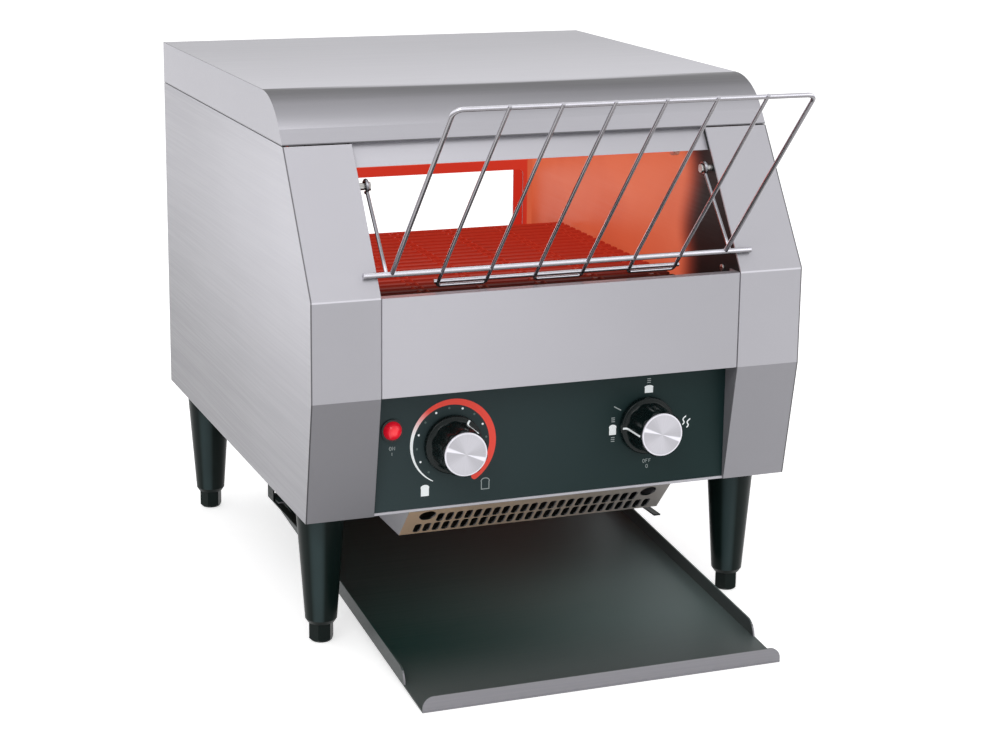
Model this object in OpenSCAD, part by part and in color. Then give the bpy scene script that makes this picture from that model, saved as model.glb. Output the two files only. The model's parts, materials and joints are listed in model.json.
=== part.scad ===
// Countertop conveyor toaster: bread goes down the wire rack on to a wire belt, between heaters,
// falls off the rear of the belt and slides down a chute to the tray under the casing.
// Modelled with +X to the right, the front facing -Y and the counter at Z = 0.

/* [Casing] */
// Width over both side panels
body_w = 368; // [360:1:400]
// Depth from the nose to the rear panel
body_d = 420; // [414:1:450]
// Height of the casing without its legs
case_h = 286.5; // [284:0.5:300]
// Thickness of the casing sheet
sheet_t = 1.2; // [1:0.1:1.5]
// Thickness of the base sheet
base_t = 2; // [1.5:0.1:2.5]
// Width of each front column beside the opening
column_w = 49.4; // [47:0.1:52]
// Height of the top cover's skirt
skirt_h = 32.6; // [30:0.1:35]
// Outer radius of the top cover's front bend
cover_bend_r = 51; // [42:1:56]
// Gap at the seams between casing sheets
seam = 0.6; // [0.3:0.1:0.9]
// How far the joggle strip behind the skirt reaches past the seam
joggle_h = 12; // [8:1:16]

/* [Front] */
// Height of the nose's lower edge above the base
nose_low_h = 88.6; // [86:0.2:90]
// Height of the upright nose
nose_h = 70.3; // [69:0.1:74]
// How far the slope leans back from the nose to the seam
slope_back = 64.4; // [60:0.2:70]
// How far the chin leans back from the nose to the base
chin_back = 15.9; // [14:0.1:16.5]
// How far the control panel stands behind the nose
panel_back = 18; // [17.8:0.1:20]
// Depth of the front cover's top flange
nose_flange = 8; // [6:0.5:9]
// Depth of the front cover's side flanges
side_flange = 14; // [10:0.5:15]
// How far the header strip is sunk behind the slope
header_sink = 4; // [3:0.2:5]
// Height of the header strip below the seam
header_h = 14; // [12:0.5:15]
// Depth of the header strip's rear flange
header_flange = 14; // [10:0.5:18]

/* [Legs and feet] */
// Height of the legs with their feet
leg_h = 101.5; // [99:0.5:110]
// Distance from a side of the casing to a leg
leg_side = 22.7; // [20:0.1:23.5]
// Distance of the front legs behind the nose
leg_front_y = 56.4; // [50:0.2:60]
// Distance of the rear legs ahead of the rear face
leg_rear_gap = 40.2; // [36:0.2:44]
// Radius of a leg at the top
leg_top_r = 17.7; // [16.5:0.1:18]
// Radius of a leg near the foot
leg_low_r = 11.5; // [10.5:0.1:12.5]
// Height of the foot below the leg
foot_h = 14; // [12:0.5:16]
// Radius of the foot's hexagon over its corners
foot_r = 9; // [8.5:0.1:9.5]
// Radius of the threaded studs of the legs and feet
stud_r = 4; // [3.5:0.1:4.5]
// Length of the foot's stud inside the leg
foot_stud_l = 30; // [26:1:40]

/* [Conveyor] */
// How far the top of the belt lies under the top of the nose
belt_drop = 20.4; // [20:0.2:22]
// Gap between the wire belt and a side of the opening
belt_side = 6.6; // [5:0.2:9.6]
// Diameter of the belt's cross bars
bar_d = 3; // [2.6:0.1:3.2]
// Spacing wanted between cross bars
bar_pitch = 12.5; // [11.5:0.1:14]
// Radius of the belt drums
drum_r = 17; // [16:0.2:17.4]
// Width of a belt drum
drum_w = 12; // [8:1:16]
// Drums on each shaft
drum_count = 5; // [3:1:7]
// Gap between the belt and its drums
belt_gap = 0.4; // [0.3:0.05:0.6]
// Distance of the front shaft behind the nose
front_shaft_y = 34; // [33:0.2:36]
// Distance of the rear shaft ahead of the rear face
rear_shaft_gap = 108; // [100:1:114]
// Radius of the belt shafts
shaft_r = 5; // [4:0.1:5.5]
// Running clearance of shafts in their bushes
run_gap = 0.05; // [0.03:0.01:0.08]
// Radius of the shaft bushes
bush_r = 8; // [7.5:0.1:8.5]
// Width of a side strip of the belt
strip_w = 3; // [2:0.2:4]
// Height of a side strip of the belt
strip_h = 1.6; // [1.2:0.1:2]

/* [Heaters] */
// Radius of a heater tube
heater_r = 3.5; // [3:0.1:3.6]
// Heaters above the belt
upper_count = 4; // [3:1:5]
// Heaters between the runs of the belt
lower_count = 3; // [2:1:4]
// Distance of the first upper heater behind the nose
heater_front_y = 110; // [104:1:116]
// Distance of the last upper heater ahead of the rear wall
heater_rear_gap = 66; // [60:1:72]
// Drop of the upper heaters below the upper reflector
heater_drop = 7; // [6.5:0.1:8]
// Height of the lower reflector above the belt's lower run
reflector_up = 5; // [4:0.5:6]
// Radius of the ceramic insulators
insulator_r = 6; // [5:0.1:6.5]
// Length of a ceramic insulator
insulator_l = 16; // [12:1:18]
// Thickness of the insulation blanket
blanket_t = 24; // [16:1:26]
// Depth of the window duct between rear wall and rear panel
duct_l = 21.6; // [18:0.2:24]
// Distance of the rear window from a side of the opening
window_side = 8.6; // [6.6:0.2:24.6]
// Height of the rear window's top above the nose
window_top = 10.6; // [8:0.2:12]
// Height of the rear window
window_h = 55; // [50:1:58]
// Corner radius of the rear window
window_r = 4; // [3:0.5:6]

/* [Chute and tray] */
// Inner radius of the toast chute's bend
chute_r = 115; // [113:1:118]
// Slope of the chute's lower end in degrees
chute_a = 10; // [9:0.5:11]
// Height of the chute's end above the tray floor
chute_step = 2; // [1.5:0.1:4]
// Height of the chute's side rim under its sheet
chute_rim = 4; // [3:0.5:6]
// How much narrower than the opening the toast tray is on each side
tray_side = 2.1; // [1.6:0.1:4]
// How far the tray hangs left of the middle
tray_shift = 4; // [2:0.5:5]
// How far the tray's lip stands in front of the nose
tray_out = 92; // [84:1:98]
// Distance of the tray's rear end ahead of the rear face
tray_rear_gap = 156; // [154:1:162]
// Slope of the tray floor in degrees
tray_a = 5.55; // [5:0.05:6]
// Height of the tray's side walls
tray_wall_h = 11.3; // [9:0.1:12]
// Height of the tray's front lip
tray_lip_h = 11; // [9:0.5:13]
// Thickness of the tray sheet
tray_t = 1.2; // [1:0.1:1.5]
// Distance of the tray walls' front ends behind the lip
tray_gap = 38; // [30:1:50]
// Length of a tray ear that rides on a rail
ear_l = 24; // [16:1:30]
// Width of a tray ear
ear_w = 4.6; // [4:0.1:5]
// Clearance between the tray and what holds it
tray_clear = 0.4; // [0.3:0.05:0.6]
// Length of the tray rails
rail_l = 146; // [140:1:150]

/* [Air intake] */
// Distance of the intake grille from a side of the opening
grille_side = 32.6; // [24.6:0.5:34.6]
// Drop of the grille below the base
grille_drop = 31; // [28:0.5:34]
// Distance of the grille's top edge behind the nose
grille_y = 30; // [26:0.5:34]
// How far the grille leans back
grille_lean = 29; // [26:0.5:34]
// Depth of the grille's flat bottom
grille_flat = 45; // [36:1:48]
// Slot spacing
slot_pitch = 7.2; // [7:0.1:7.6]
// Slot width
slot_w = 5.2; // [4:0.1:5.6]
// Slot height along the plate
slot_h = 11.6; // [10:0.1:12]
// Width left free of slots at each end of the upper row
upper_edge = 22; // [20:0.5:26]
// Width left free of slots at each end of the lower row
lower_edge = 7; // [6:0.5:12]
// Diameter of the round holes beside the upper row
round_d = 12.4; // [11:0.1:13]

/* [Loading rack] */
// Length of the rack from its main rod to its top bar
rack_l = 174.6; // [165:0.5:185]
// Tilt of the rack from level in degrees
rack_a = 46.8; // [44:0.1:50]
// Height above the nose where the main rod rests on the columns' slope
rod_seat_h = 12.8; // [11.6:0.2:15]
// Radius of the main rod
rod_r = 2; // [1.7:0.1:2.2]
// Radius of the frame wire
frame_r = 1.6; // [1.4:0.05:1.8]
// Radius of the inner wires
wire_r = 1.3; // [1.1:0.05:1.4]
// Distance of the rack's frame from a side of the opening
rack_side = 9.6; // [8.6:0.2:12.6]
// Inner wires of the rack, joined in pairs
wire_count = 6; // [4:2:8]
// How far the main rod reaches past the opening's edge
rod_reach = 10.5; // [8:0.5:13]
// Distance of the second rod below the main rod
second_drop = 12; // [11:0.2:13]
// Bend radius of the frame's top corners
corner_r = 6; // [5:0.5:8]
// How far the inner wires stand past the top bar
wire_over = 2.6; // [2.2:0.1:3.2]
// Distance of the hook pins behind the nose
pin_y = 52; // [51:0.2:56]
// Height of the hook pins above the nose
pin_h = 66.6; // [64:0.2:68]
// Radius of the hook pins
pin_r = 2.5; // [2.2:0.1:2.8]
// Clearance around the hook pins and on the slope
rack_clear = 0.35; // [0.3:0.05:0.5]
// Distance of the hooks outside the frame wires
hook_step = 3.6; // [3.2:0.1:4]

/* [Controls] */
// Distance of the speed knob from the opening's left side
speed_side = 57.6; // [54.6:0.5:60.6]
// Distance of the selector knob from the opening's right side
selector_side = 63.1; // [60.1:0.5:66.6]
// Height of the knobs above the base
knob_h = 47; // [44:0.5:50]
// Radius of a knob's skirt
skirt_r = 21; // [20:0.2:22]
// Thickness of a knob's skirt
skirt_t = 4.5; // [4:0.1:5]
// Radius of a knob's grip
grip_r = 17; // [16.4:0.1:18]
// Height of a knob with its cap
knob_out = 29; // [26:0.5:32]
// Radius of the aluminium cap
cap_r = 15.6; // [14:0.1:16]
// Thickness of the aluminium cap
cap_t = 1.6; // [1:0.1:2]
// Grip flutes round a knob
flute_count = 10; // [8:1:14]
// Gap between a knob and the panel
knob_gap = 1; // [0.6:0.1:1.5]
// Radius of the control shafts
spindle_r = 3; // [2.6:0.1:3.2]
// Radius of the threaded bushings that hold the controls
bushing_r = 4.7; // [4.4:0.1:5]
// Distance of the lamp from the opening's left side
lamp_side = 13.6; // [11.6:0.5:15.6]
// Height of the lamp above the base
lamp_h = 60.5; // [56:0.5:64]
// Radius of the lamp's lens
lens_r = 6.9; // [6:0.1:7.5]

/* [Drive and cooling] */
// Height of the motor shaft above the base
motor_h = 48.5; // [46:0.5:50]
// Distance of the motor shaft behind the nose
motor_y = 76; // [75:0.5:78]
// Side of the square gearbox
gearbox_s = 60; // [56:1:62]
// Width of the gearbox
gearbox_w = 36; // [30:1:38]
// Radius of the motor
motor_r = 25; // [22:0.5:26]
// Length of the motor
motor_l = 58; // [50:1:60]
// Radius of the motor's output shaft
output_r = 4; // [3.5:0.1:4.5]
// Teeth of the driven sprocket
driven_teeth = 20; // [18:1:22]
// Teeth of the motor sprocket
motor_teeth = 12; // [11:1:13]
// Pitch of the drive chain
chain_pitch = 6.35; // [6:0.05:6.5]
// Width of the drive chain
chain_w = 5; // [4:0.5:6]
// Side of the square cooling fan
fan_s = 80; // [76:1:80]
// Thickness of the cooling fan
fan_w = 25; // [20:1:26]
// Blades of the fan
blade_count = 7; // [5:1:9]
// Length of the control space behind the nose
bulkhead_y = 130; // [129:0.5:132]
// How far the cable gland stands out of the rear panel
gland_out = 12; // [10:0.5:16]
// Inner radius of the cable gland
gland_hole_r = 4.2; // [3.6:0.1:4.6]
// Screw head radius
screw_r = 3.6; // [3:0.1:4]
// Screw head height
screw_t = 1.8; // [1.4:0.1:2.2]

/* [Hidden] */
$fn = 48;
small = 0.01;

// ---- levels and profile of the casing ----
open_x = body_w / 2 - column_w;
base_z = leg_h;
deck_z = base_z + base_t;
top_z = base_z + case_h;
seam_z = top_z - skirt_h;
nose_low_z = base_z + nose_low_h;
nose_top_z = nose_low_z + nose_h;
slope_a = atan2(seam_z - nose_top_z, slope_back);
slope_dir = [cos(slope_a), sin(slope_a)];
slope_out = [-sin(slope_a), cos(slope_a)];
rear_in_y = body_d - sheet_t;
front_path = [
    [chin_back, base_z],
    [0, nose_low_z],
    [0, nose_top_z],
    [slope_back, seam_z]
];
// The same on the side panels, which end at the seam under the top cover
side_path = [front_path[0], front_path[1], front_path[2], point_on_slope(seam_z - seam, 0)];
leg_x = body_w / 2 - leg_side;

// ---- air intake ----
grille_x = open_x - grille_side;
slot_upper = floor(2 * (grille_x - upper_edge) / slot_pitch);
slot_lower = floor(2 * (grille_x - lower_edge) / slot_pitch);

// ---- conveyor ----
belt_w = 2 * (open_x - belt_side);
belt_top_z = nose_top_z - belt_drop;
loop_r = drum_r + belt_gap + bar_d / 2;
shaft_z = belt_top_z - bar_d / 2 - loop_r;
rear_shaft_y = body_d - rear_shaft_gap;
shaft_span = rear_shaft_y - front_shaft_y;
loop_l = 2 * shaft_span + 2 * PI * loop_r;
bar_count = round(loop_l / bar_pitch);
drum_pitch = (belt_w - 2 * strip_w - 2 * drum_w) / drum_count;
strip_x = belt_w / 2 - strip_w / 2;

// ---- chute, tray and window ----
wall_y = rear_in_y - duct_l - sheet_t;
chute_y = wall_y - sheet_t;
tray_in = body_d - tray_rear_gap;
tray_w = 2 * (open_x - tray_side);
tray_floor_rear = tray_t + (tray_in + tray_out) * tan(tray_a);
tray_end_gap = 1.5;
chute_end_y = tray_in + tray_end_gap;
chute_end_z = tray_floor_rear + chute_step;
chute_cy = chute_y - chute_r;
chute_toe_y = chute_cy + chute_r * sin(chute_a);
chute_toe_z = chute_end_z + (chute_toe_y - chute_end_y) * tan(chute_a);
chute_cz = chute_toe_z + chute_r * cos(chute_a);
window_x = open_x - window_side;
window_top_z = nose_top_z + window_top;
window_low_z = window_top_z - window_h;
opening_front_y = bulkhead_y + sheet_t;
opening_rear_y = wall_y + sheet_t;
// Width of the base's edge inside the inner plates
opening_edge = 4.6;
opening_x = open_x - opening_edge;
chute_x = opening_x - 0.6;
// Size of the chute's side cheeks inside the casing, and where round the bend they end
cheek_w = 20;
cheek_a = -17;

// ---- upper parts of the chamber ----
header_top = point_on_slope(seam_z + header_sink, header_sink);
header_low = point_on_slope(seam_z - header_h, header_sink);
reflector_z = header_low[1] + sheet_t;
// Where the upper reflector starts on the header strip's rear flange
reflector_in = 4;
upper_heater_z = reflector_z - heater_drop;
heater_rear_y = wall_y - heater_rear_gap;
lower_reflector_z = shaft_z - loop_r + bar_d / 2 + reflector_up;

// ---- what lies between the belt's runs, from the bends of the belt ----
run_front_y = front_shaft_y + loop_r;
run_rear_y = rear_shaft_y - loop_r;
lower_heater_in = 34;
lower_reflector_in = 18;
rail_in = 22;

// ---- loading rack ----
rack_dir = [-cos(rack_a), sin(rack_a)];
rack_out = [-sin(rack_a), -cos(rack_a)];
rod_p = point_on_slope(nose_top_z + rod_seat_h, -(rod_r + rack_clear));
rack_top = rod_p + rack_l * rack_dir;
second_p = rod_p - second_drop * rack_dir;
pin_z = nose_top_z + pin_h;
hook_r = pin_r + rack_clear + wire_r;
rack_x = open_x - rack_side;
hook_x = rack_x + hook_step;
wire_pitch = 2 * rack_x / (wire_count + 1);
wire_xs = [for (i = [0:wire_count - 1]) (i - (wire_count - 1) / 2) * wire_pitch];
// Share of a wire's radius that it stands off the bar it is welded to
weld_share = 0.6;
wire_shift = weld_share * wire_r * rack_out;
wire_top = rack_top + wire_over * rack_dir + wire_shift;
// How much thicker a wire's bends are, and how far its straight ends run into them
bend_swell = 0.02;
bend_into = 0.2;
// Angle that a hook's ring reaches past its stay
hook_past = 40;

// ---- placing in the part's own frame ----
front_y = wire_top[0] - wire_r * sin(rack_a);
centre_y = (body_d + gland_out + front_y) / 2;

// ---- tray and its rails ----
tray_left = -tray_w / 2 - tray_shift;
tray_right = tray_w / 2 - tray_shift;
// Distance of the tray rails' rear ends behind the tray
rail_over = 1;
// Width of the straps that hold a tray rail, and how far the front one stands behind its end
strap_w = 16;
strap_in = 42;

// ---- drive ----
chain_x = open_x + 16;
motor_z = base_z + motor_h;
driven_r = chain_pitch / (2 * sin(180 / driven_teeth)) - 1.2;
motor_sprocket_r = chain_pitch / (2 * sin(180 / motor_teeth)) - 1.2;
chain_gap = 0.5;
chain_t = 2.4;
// Thickness of the gearbox wall behind its output bore
bore_floor = 7;
// Height of the motor's axis above the output shaft
motor_up = 2;
fan_y = bulkhead_y - fan_s / 2 - 2;
fan_z = deck_z + fan_s / 2 + 1;
knob_z = base_z + knob_h;
lamp_z = base_z + lamp_h;

// ---- fan and controls ----
hub_r = 13;
fan_pin_r = 2;
fan_x0 = -open_x;
// How much narrower than its housing the fan's impeller is
impeller_short = 9;
// Gap between the fan and the control board, and height of the board above the deck
board_gap = 14;
board_up = 12;
speed_x = open_x - speed_side;
selector_x = open_x - selector_side;
lamp_x = open_x - lamp_side;
pot_deep = 16;
pot_side = 24;
switch_deep = 24;
switch_side = 38;
// Distance from a knob's front end to the end of its spindle
spindle_short = 12;
// Length of a spindle inside its control
spindle_in = 5;
bezel_t = 1.4;
lamp_l = 24;
stem_l = 6;
lens_stem_r = lens_r - 2.4;

// ---- functions ----

// Point at height z on the slope, moved in by depth
function point_on_slope(z, depth) =
    [(z - nose_top_z) / tan(slope_a), z] - depth * slope_out;

function unit(v) = v / norm(v);
function left_normal(v) = [-v[1], v[0]] / norm(v);

// Point i of an open path moved sideways by d, with mitred corners
function shifted(path, i, d) =
    let (
        n = len(path),
        a = i > 0 ? left_normal(path[i] - path[i - 1]) : left_normal(path[1] - path[0]),
        b = i < n - 1 ? left_normal(path[i + 1] - path[i]) : a,
        m = unit(a + b)
    ) path[i] + m * d / (m * a);

function offset_path(path, d) = [for (i = [0:len(path) - 1]) shifted(path, i, d)];
function reversed(path) = [for (i = [len(path) - 1:-1:0]) path[i]];
function sheet_outline(path, t) = concat(path, reversed(offset_path(path, t)));
function arc(c, r, a0, a1, n) =
    [for (i = [0:n]) c + r * [cos(a0 + (a1 - a0) * i / n), sin(a0 + (a1 - a0) * i / n)]];

// Outline of a loop round two circles, as a tight band would lie
function band(c1, r1, c2, r2, n) =
    let (
        d = norm(c2 - c1),
        dir = atan2(c2[1] - c1[1], c2[0] - c1[0]),
        g = acos((r1 - r2) / d)
    ) concat(arc(c1, r1, dir + g, dir + 360 - g, n), arc(c2, r2, dir - g, dir + g, n));

// ---- building helpers ----

// Everything is drawn from the nose and then moved so that the origin is under the middle
module placed() {
    translate([0, -centre_y, 0]) children();
}

module mirrored_pair() {
    children();
    mirror([1, 0, 0]) children();
}

// A YZ outline extruded along X from x0
module profile(x0, w, outline) {
    translate([x0, 0, 0]) rotate([90, 0, 90]) linear_extrude(w) polygon(outline);
}

// A bent sheet about an X axis, from angle a0 to a1 counted from +Y towards +Z
module bent_sheet(x0, w, c, r, t, a0, a1) {
    translate([x0, c[0], c[1]]) rotate([90, 0, 90]) rotate([0, 0, a0])
        rotate_extrude(angle = a1 - a0, $fn = 96) translate([r, 0]) square([t, w]);
}

module rod_x(x0, l, p, r) {
    translate([x0, p[0], p[1]]) rotate([0, 90, 0]) cylinder(r = r, h = l);
}

// A rod along -Y whose rear end is at y1
module rod_y(x, y1, z, r, l) {
    translate([x, y1, z]) rotate([90, 0, 0]) cylinder(r = r, h = l);
}

module wire(a, b, r) {
    d = b - a;
    l = norm(d);
    translate(a) rotate([0, acos(d[2] / l), atan2(d[1], d[0])]) cylinder(r = r, h = l, $fn = 24);
}

// A plate in the XZ plane with rounded corners, rear face at y1
module rounded_plate(x, z0, z1, y1, t, r) {
    translate([0, y1, 0]) rotate([90, 0, 0]) linear_extrude(t) union() {
        translate([-x + r, z0]) square([2 * (x - r), z1 - z0]);
        translate([-x, z0 + r]) square([2 * x, z1 - z0 - 2 * r]);
        for (sx = [-1, 1], z = [z0 + r, z1 - r]) translate([sx * (x - r), z]) circle(r = r);
    }
}

// ---- casing ----

module leg_places() {
    for (sx = [-1, 1], y = [leg_front_y, body_d - leg_rear_gap]) translate([sx * leg_x, y, 0])
        children();
}

module base_frame() color("silver") placed() {
    front = chin_back + sheet_t;
    difference() {
        translate([-body_w / 2 + sheet_t, front, base_z])
            cube([body_w - 2 * sheet_t, rear_in_y - front, base_t]);
        translate([-opening_x, opening_front_y, base_z - 1])
            cube([2 * opening_x, opening_rear_y - opening_front_y, base_t + 2]);
        leg_places() translate([0, 0, base_z - 1]) cylinder(r = stud_r, h = base_t + 2);
        intake_openings();
    }
}

// Air slots in the base over the intake grille
module intake_openings() {
    slots = 5;
    slot_deep = 5;
    pitch = 12;
    edge = 12;
    for (i = [0:slots - 1]) translate([-grille_x + edge, grille_y + edge + i * pitch, base_z - 1])
        cube([2 * (grille_x - edge), slot_deep, base_t + 2]);
}

module side_panel() {
    outline = concat(side_path, [[body_d, seam_z - seam], [body_d, base_z]]);
    profile(body_w / 2 - sheet_t, sheet_t, outline);
    profile(open_x, column_w, sheet_outline(side_path, -sheet_t));
    joggle_y = point_on_slope(seam_z + joggle_h, sheet_t)[0] + 2 * seam;
    translate([body_w / 2 - 2 * sheet_t, joggle_y, seam_z - joggle_h])
        cube([sheet_t, rear_in_y - joggle_y, 2 * joggle_h]);
}

module left_side_panel() color("gainsboro") placed() mirror([1, 0, 0]) side_panel();
module right_side_panel() color("gainsboro") placed() side_panel();

// Plate between the chamber and a side cavity, at its place on the right
module inner_plate(drive_side) {
    path = offset_path(front_path, -sheet_t);
    low = point_between(path[0], path[1], deck_z);
    rear = [[rear_in_y, path[3][1]], [rear_in_y, deck_z]];
    outline = concat([low, path[1], path[2], path[3]], rear);
    difference() {
        profile(open_x, sheet_t, outline);
        shaft_axes() rod_x(open_x - 1, sheet_t + 2, [0, 0], bush_r);
        heater_places() rod_x(open_x - 1, sheet_t + 2, [0, 0], insulator_r);
        if (drive_side) rod_x(open_x - 1, sheet_t + 2, [motor_y, motor_z], output_r + 3);
        else rod_x(open_x - 1, sheet_t + 2, [fan_y, fan_z], fan_s / 2 - 3);
    }
}

// Point at height z on the line from a to b
function point_between(a, b, z) = a + (b - a) * (z - a[1]) / (b[1] - a[1]);

module shaft_axes() {
    for (y = [front_shaft_y, rear_shaft_y]) translate([0, y, shaft_z]) children();
}

module left_inner_plate() color("lightgray") placed() mirror([1, 0, 0]) inner_plate(false);
module right_inner_plate() color("lightgray") placed() inner_plate(true);

// Solid under the top cover's skin, inset by t, from height low
module cover_solid(t, low) {
    r = cover_bend_r;
    corner = [(top_z - nose_top_z) / tan(slope_a), top_z];
    reach = r * tan(slope_a / 2);
    c = [corner[0] + reach, top_z - r];
    foot = c + (r - t) * slope_out;
    crown = [c[0], top_z - t];
    lip = point_between(foot, foot - slope_dir, low);
    x = body_w / 2 - t;
    beyond = r * left_normal(crown - foot);
    profile(-x, 2 * x, [lip, foot, crown, [body_d - t, top_z - t], [body_d - t, low]]);
    intersection() {
        rod_x(-x, 2 * x, c, r - t, $fn = 96);
        profile(-x, 2 * x, [foot, foot + beyond, crown + beyond, crown]);
    }
}

module top_cover() color("gainsboro") placed() difference() {
    cover_solid(0, seam_z);
    cover_solid(sheet_t, seam_z - 1);
}

module rear_panel() color("gainsboro") placed() {
    x = body_w / 2 - sheet_t;
    vent_n = 14;
    vent_pitch = 9;
    vent_w = 3;
    vent_h = 26;
    difference() {
        translate([-x, rear_in_y, base_z]) cube([2 * x, sheet_t, seam_z - seam - base_z]);
        rounded_plate(window_x, window_low_z, window_top_z, body_d + 1, sheet_t + 2, window_r);
        for (i = [0:vent_n - 1], z = [base_z + 36, base_z + 70])
            translate([(i - (vent_n - 1) / 2) * vent_pitch - vent_w / 2, rear_in_y - 1, z])
                cube([vent_w, sheet_t + 2, vent_h]);
        rod_y(gland_x(), body_d + 1, gland_z(), gland_r() - 2, sheet_t + 2);
    }
}

module front_cover() color("gainsboro") placed() {
    x = open_x - seam;
    translate([-x, 0, nose_low_z]) cube([2 * x, sheet_t, nose_h - seam]);
    translate([-x, 0, nose_top_z - seam - sheet_t]) cube([2 * x, nose_flange, sheet_t]);
    translate([-x, 0, nose_low_z]) cube([2 * x, panel_back + sheet_t, sheet_t]);
    mirrored_pair() translate([open_x - sheet_t, sheet_t, nose_low_z])
        cube([sheet_t, side_flange, nose_h - seam]);
}

module header_strip() color("gainsboro") placed()
    profile(-open_x, 2 * open_x, sheet_outline(
        [header_low + [header_flange, 0], header_low, header_top], -sheet_t));

module control_panel() color([0.17, 0.21, 0.21]) placed() difference() {
    translate([-open_x, panel_back, deck_z]) cube([2 * open_x, sheet_t, nose_low_z - deck_z]);
    for (x = [-speed_x, selector_x]) rod_y(x, panel_back + sheet_t + 1, knob_z, bushing_r, sheet_t + 2);
    rod_y(-lamp_x, panel_back + sheet_t + 1, lamp_z, lens_r - 1, sheet_t + 2);
}

// Rear wall and ceiling of the control space
module control_bulkhead() color("lightgray") placed() {
    path = [
        [panel_back + sheet_t, nose_low_z + sheet_t],
        [bulkhead_y + sheet_t, nose_low_z + sheet_t],
        [bulkhead_y + sheet_t, deck_z]
    ];
    profile(-open_x, 2 * open_x, sheet_outline(path, -sheet_t));
}

// ---- air intake ----

module intake_grille() color("silver") placed() {
    top = [grille_y, base_z];
    toe = top + [grille_lean, -grille_drop];
    heel = toe + [grille_flat, 0];
    back = [heel[0] + grille_lean / 2, base_z];
    lean = atan2(grille_drop, grille_lean);
    plate_l = norm(toe - top);
    difference() {
        profile(-grille_x, 2 * grille_x, sheet_outline([top, toe, heel, back], sheet_t));
        translate([0, top[0], top[1]]) rotate([-lean, 0, 0]) grille_holes(plate_l);
        translate([-grille_x - 1, top[0] - 1, base_z])
            cube([2 * grille_x + 2, back[0] - top[0] + 2, 2 * sheet_t]);
    }
    mirrored_pair() profile(grille_x - sheet_t, sheet_t, [top, toe, heel, back]);
}

// Holes of the grille, cut down through a plate that runs along +Y from the origin
module grille_holes(plate_l) {
    upper_y = 0.505 * plate_l;
    lower_y = 0.81 * plate_l;
    round_y = 0.4 * plate_l;
    round_x = (slot_upper * slot_pitch + round_d) / 2 + 1;
    translate([0, 0, -2 * sheet_t]) {
        slot_row(slot_upper, upper_y);
        slot_row(slot_lower, lower_y);
        for (sx = [-1, 1]) translate([sx * round_x, round_y]) cylinder(d = round_d, h = 4 * sheet_t);
    }
}

module slot_row(n, y) {
    c = slot_w / 4;
    w = slot_w / 2;
    h = slot_h / 2;
    for (i = [0:n - 1]) translate([(i - (n - 1) / 2) * slot_pitch, y]) linear_extrude(4 * sheet_t)
        polygon([
            [-w + c, -h], [w - c, -h], [w, -h + c], [w, h - c],
            [w - c, h], [-w + c, h], [-w, h - c], [-w, -h + c]
        ]);
}

// ---- toasting chamber ----

module upper_reflector() color("orangered") placed() {
    front = header_low[0] + reflector_in;
    translate([-open_x, front, reflector_z]) cube([2 * open_x, wall_y + sheet_t - front, sheet_t]);
}

module insulation_blanket() color("whitesmoke") placed() {
    y0 = header_top[0] + header_flange;
    x = open_x - 4;
    room = top_z - sheet_t - reflector_z - sheet_t;
    translate([-x, y0 + 10, reflector_z + sheet_t])
        cube([2 * x, wall_y - y0 - 20, min(blanket_t, room - 2)]);
}

module rear_wall() color("orangered") placed() difference() {
    translate([-open_x, wall_y, window_low_z - 12])
        cube([2 * open_x, sheet_t, reflector_z - window_low_z + 12]);
    rounded_plate(window_x, window_low_z, window_top_z, wall_y + sheet_t + 1, sheet_t + 2, window_r);
}

module window_duct() color("lightgray") placed() difference() {
    y1 = rear_in_y;
    rounded_plate(window_x + sheet_t, window_low_z - sheet_t, window_top_z + sheet_t, y1, duct_l,
        window_r + sheet_t);
    rounded_plate(window_x, window_low_z, window_top_z, y1 + 1, duct_l + 2, window_r);
}

module toast_chute() color("dimgray") placed() {
    c = [chute_cy, chute_cz];
    end = [chute_end_y, chute_end_z];
    top = [chute_y, window_low_z - sheet_t];
    bend = arc(c, chute_r, chute_a - 90, 0, 24);
    profile(-chute_x, 2 * chute_x, sheet_outline(concat([end], bend, [top]), -sheet_t));
    // Side cheeks from under the sheet up into the casing
    down = [0, -chute_rim - sheet_t];
    under = arc(c, chute_r + sheet_t + chute_rim, chute_a - 90, cheek_a, 16);
    inside = [
        [chute_y - cheek_w, deck_z + cheek_w],
        [chute_end_y + cheek_w / 2, deck_z + cheek_w]
    ];
    mirrored_pair() profile(chute_x - sheet_t, sheet_t, concat([end + down], under, inside));
}

module upper_places() {
    step = (heater_rear_y - heater_front_y) / (upper_count - 1);
    for (i = [0:upper_count - 1]) translate([0, heater_front_y + i * step, upper_heater_z]) children();
}

module lower_places() {
    y0 = run_front_y + lower_heater_in;
    y1 = run_rear_y - lower_heater_in;
    step = (y1 - y0) / (lower_count - 1);
    for (i = [0:lower_count - 1]) translate([0, y0 + i * step, shaft_z + 2]) children();
}

module heater_places() {
    upper_places() children();
    lower_places() children();
}

module heater_tube() {
    l = open_x + sheet_t + insulator_l / 2;
    rod_x(-l, 2 * l, [0, 0], heater_r);
}

module upper_heaters() color("orange") placed() upper_places() heater_tube();
module lower_heaters() color("orange") placed() lower_places() heater_tube();

module heater_insulators() color("white") placed() mirrored_pair() heater_places() difference() {
    union() {
        rod_x(open_x - 4, insulator_l, [0, 0], insulator_r);
        rod_x(open_x + sheet_t, 3, [0, 0], insulator_r + 1.5);
    }
    rod_x(open_x - 5, insulator_l + 2, [0, 0], heater_r);
}

module lower_reflector() color("silver") placed() {
    y0 = run_front_y + lower_reflector_in;
    y1 = run_rear_y - lower_reflector_in;
    translate([-open_x, y0, lower_reflector_z]) cube([2 * open_x, y1 - y0, sheet_t]);
}

// ---- conveyor ----

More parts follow.
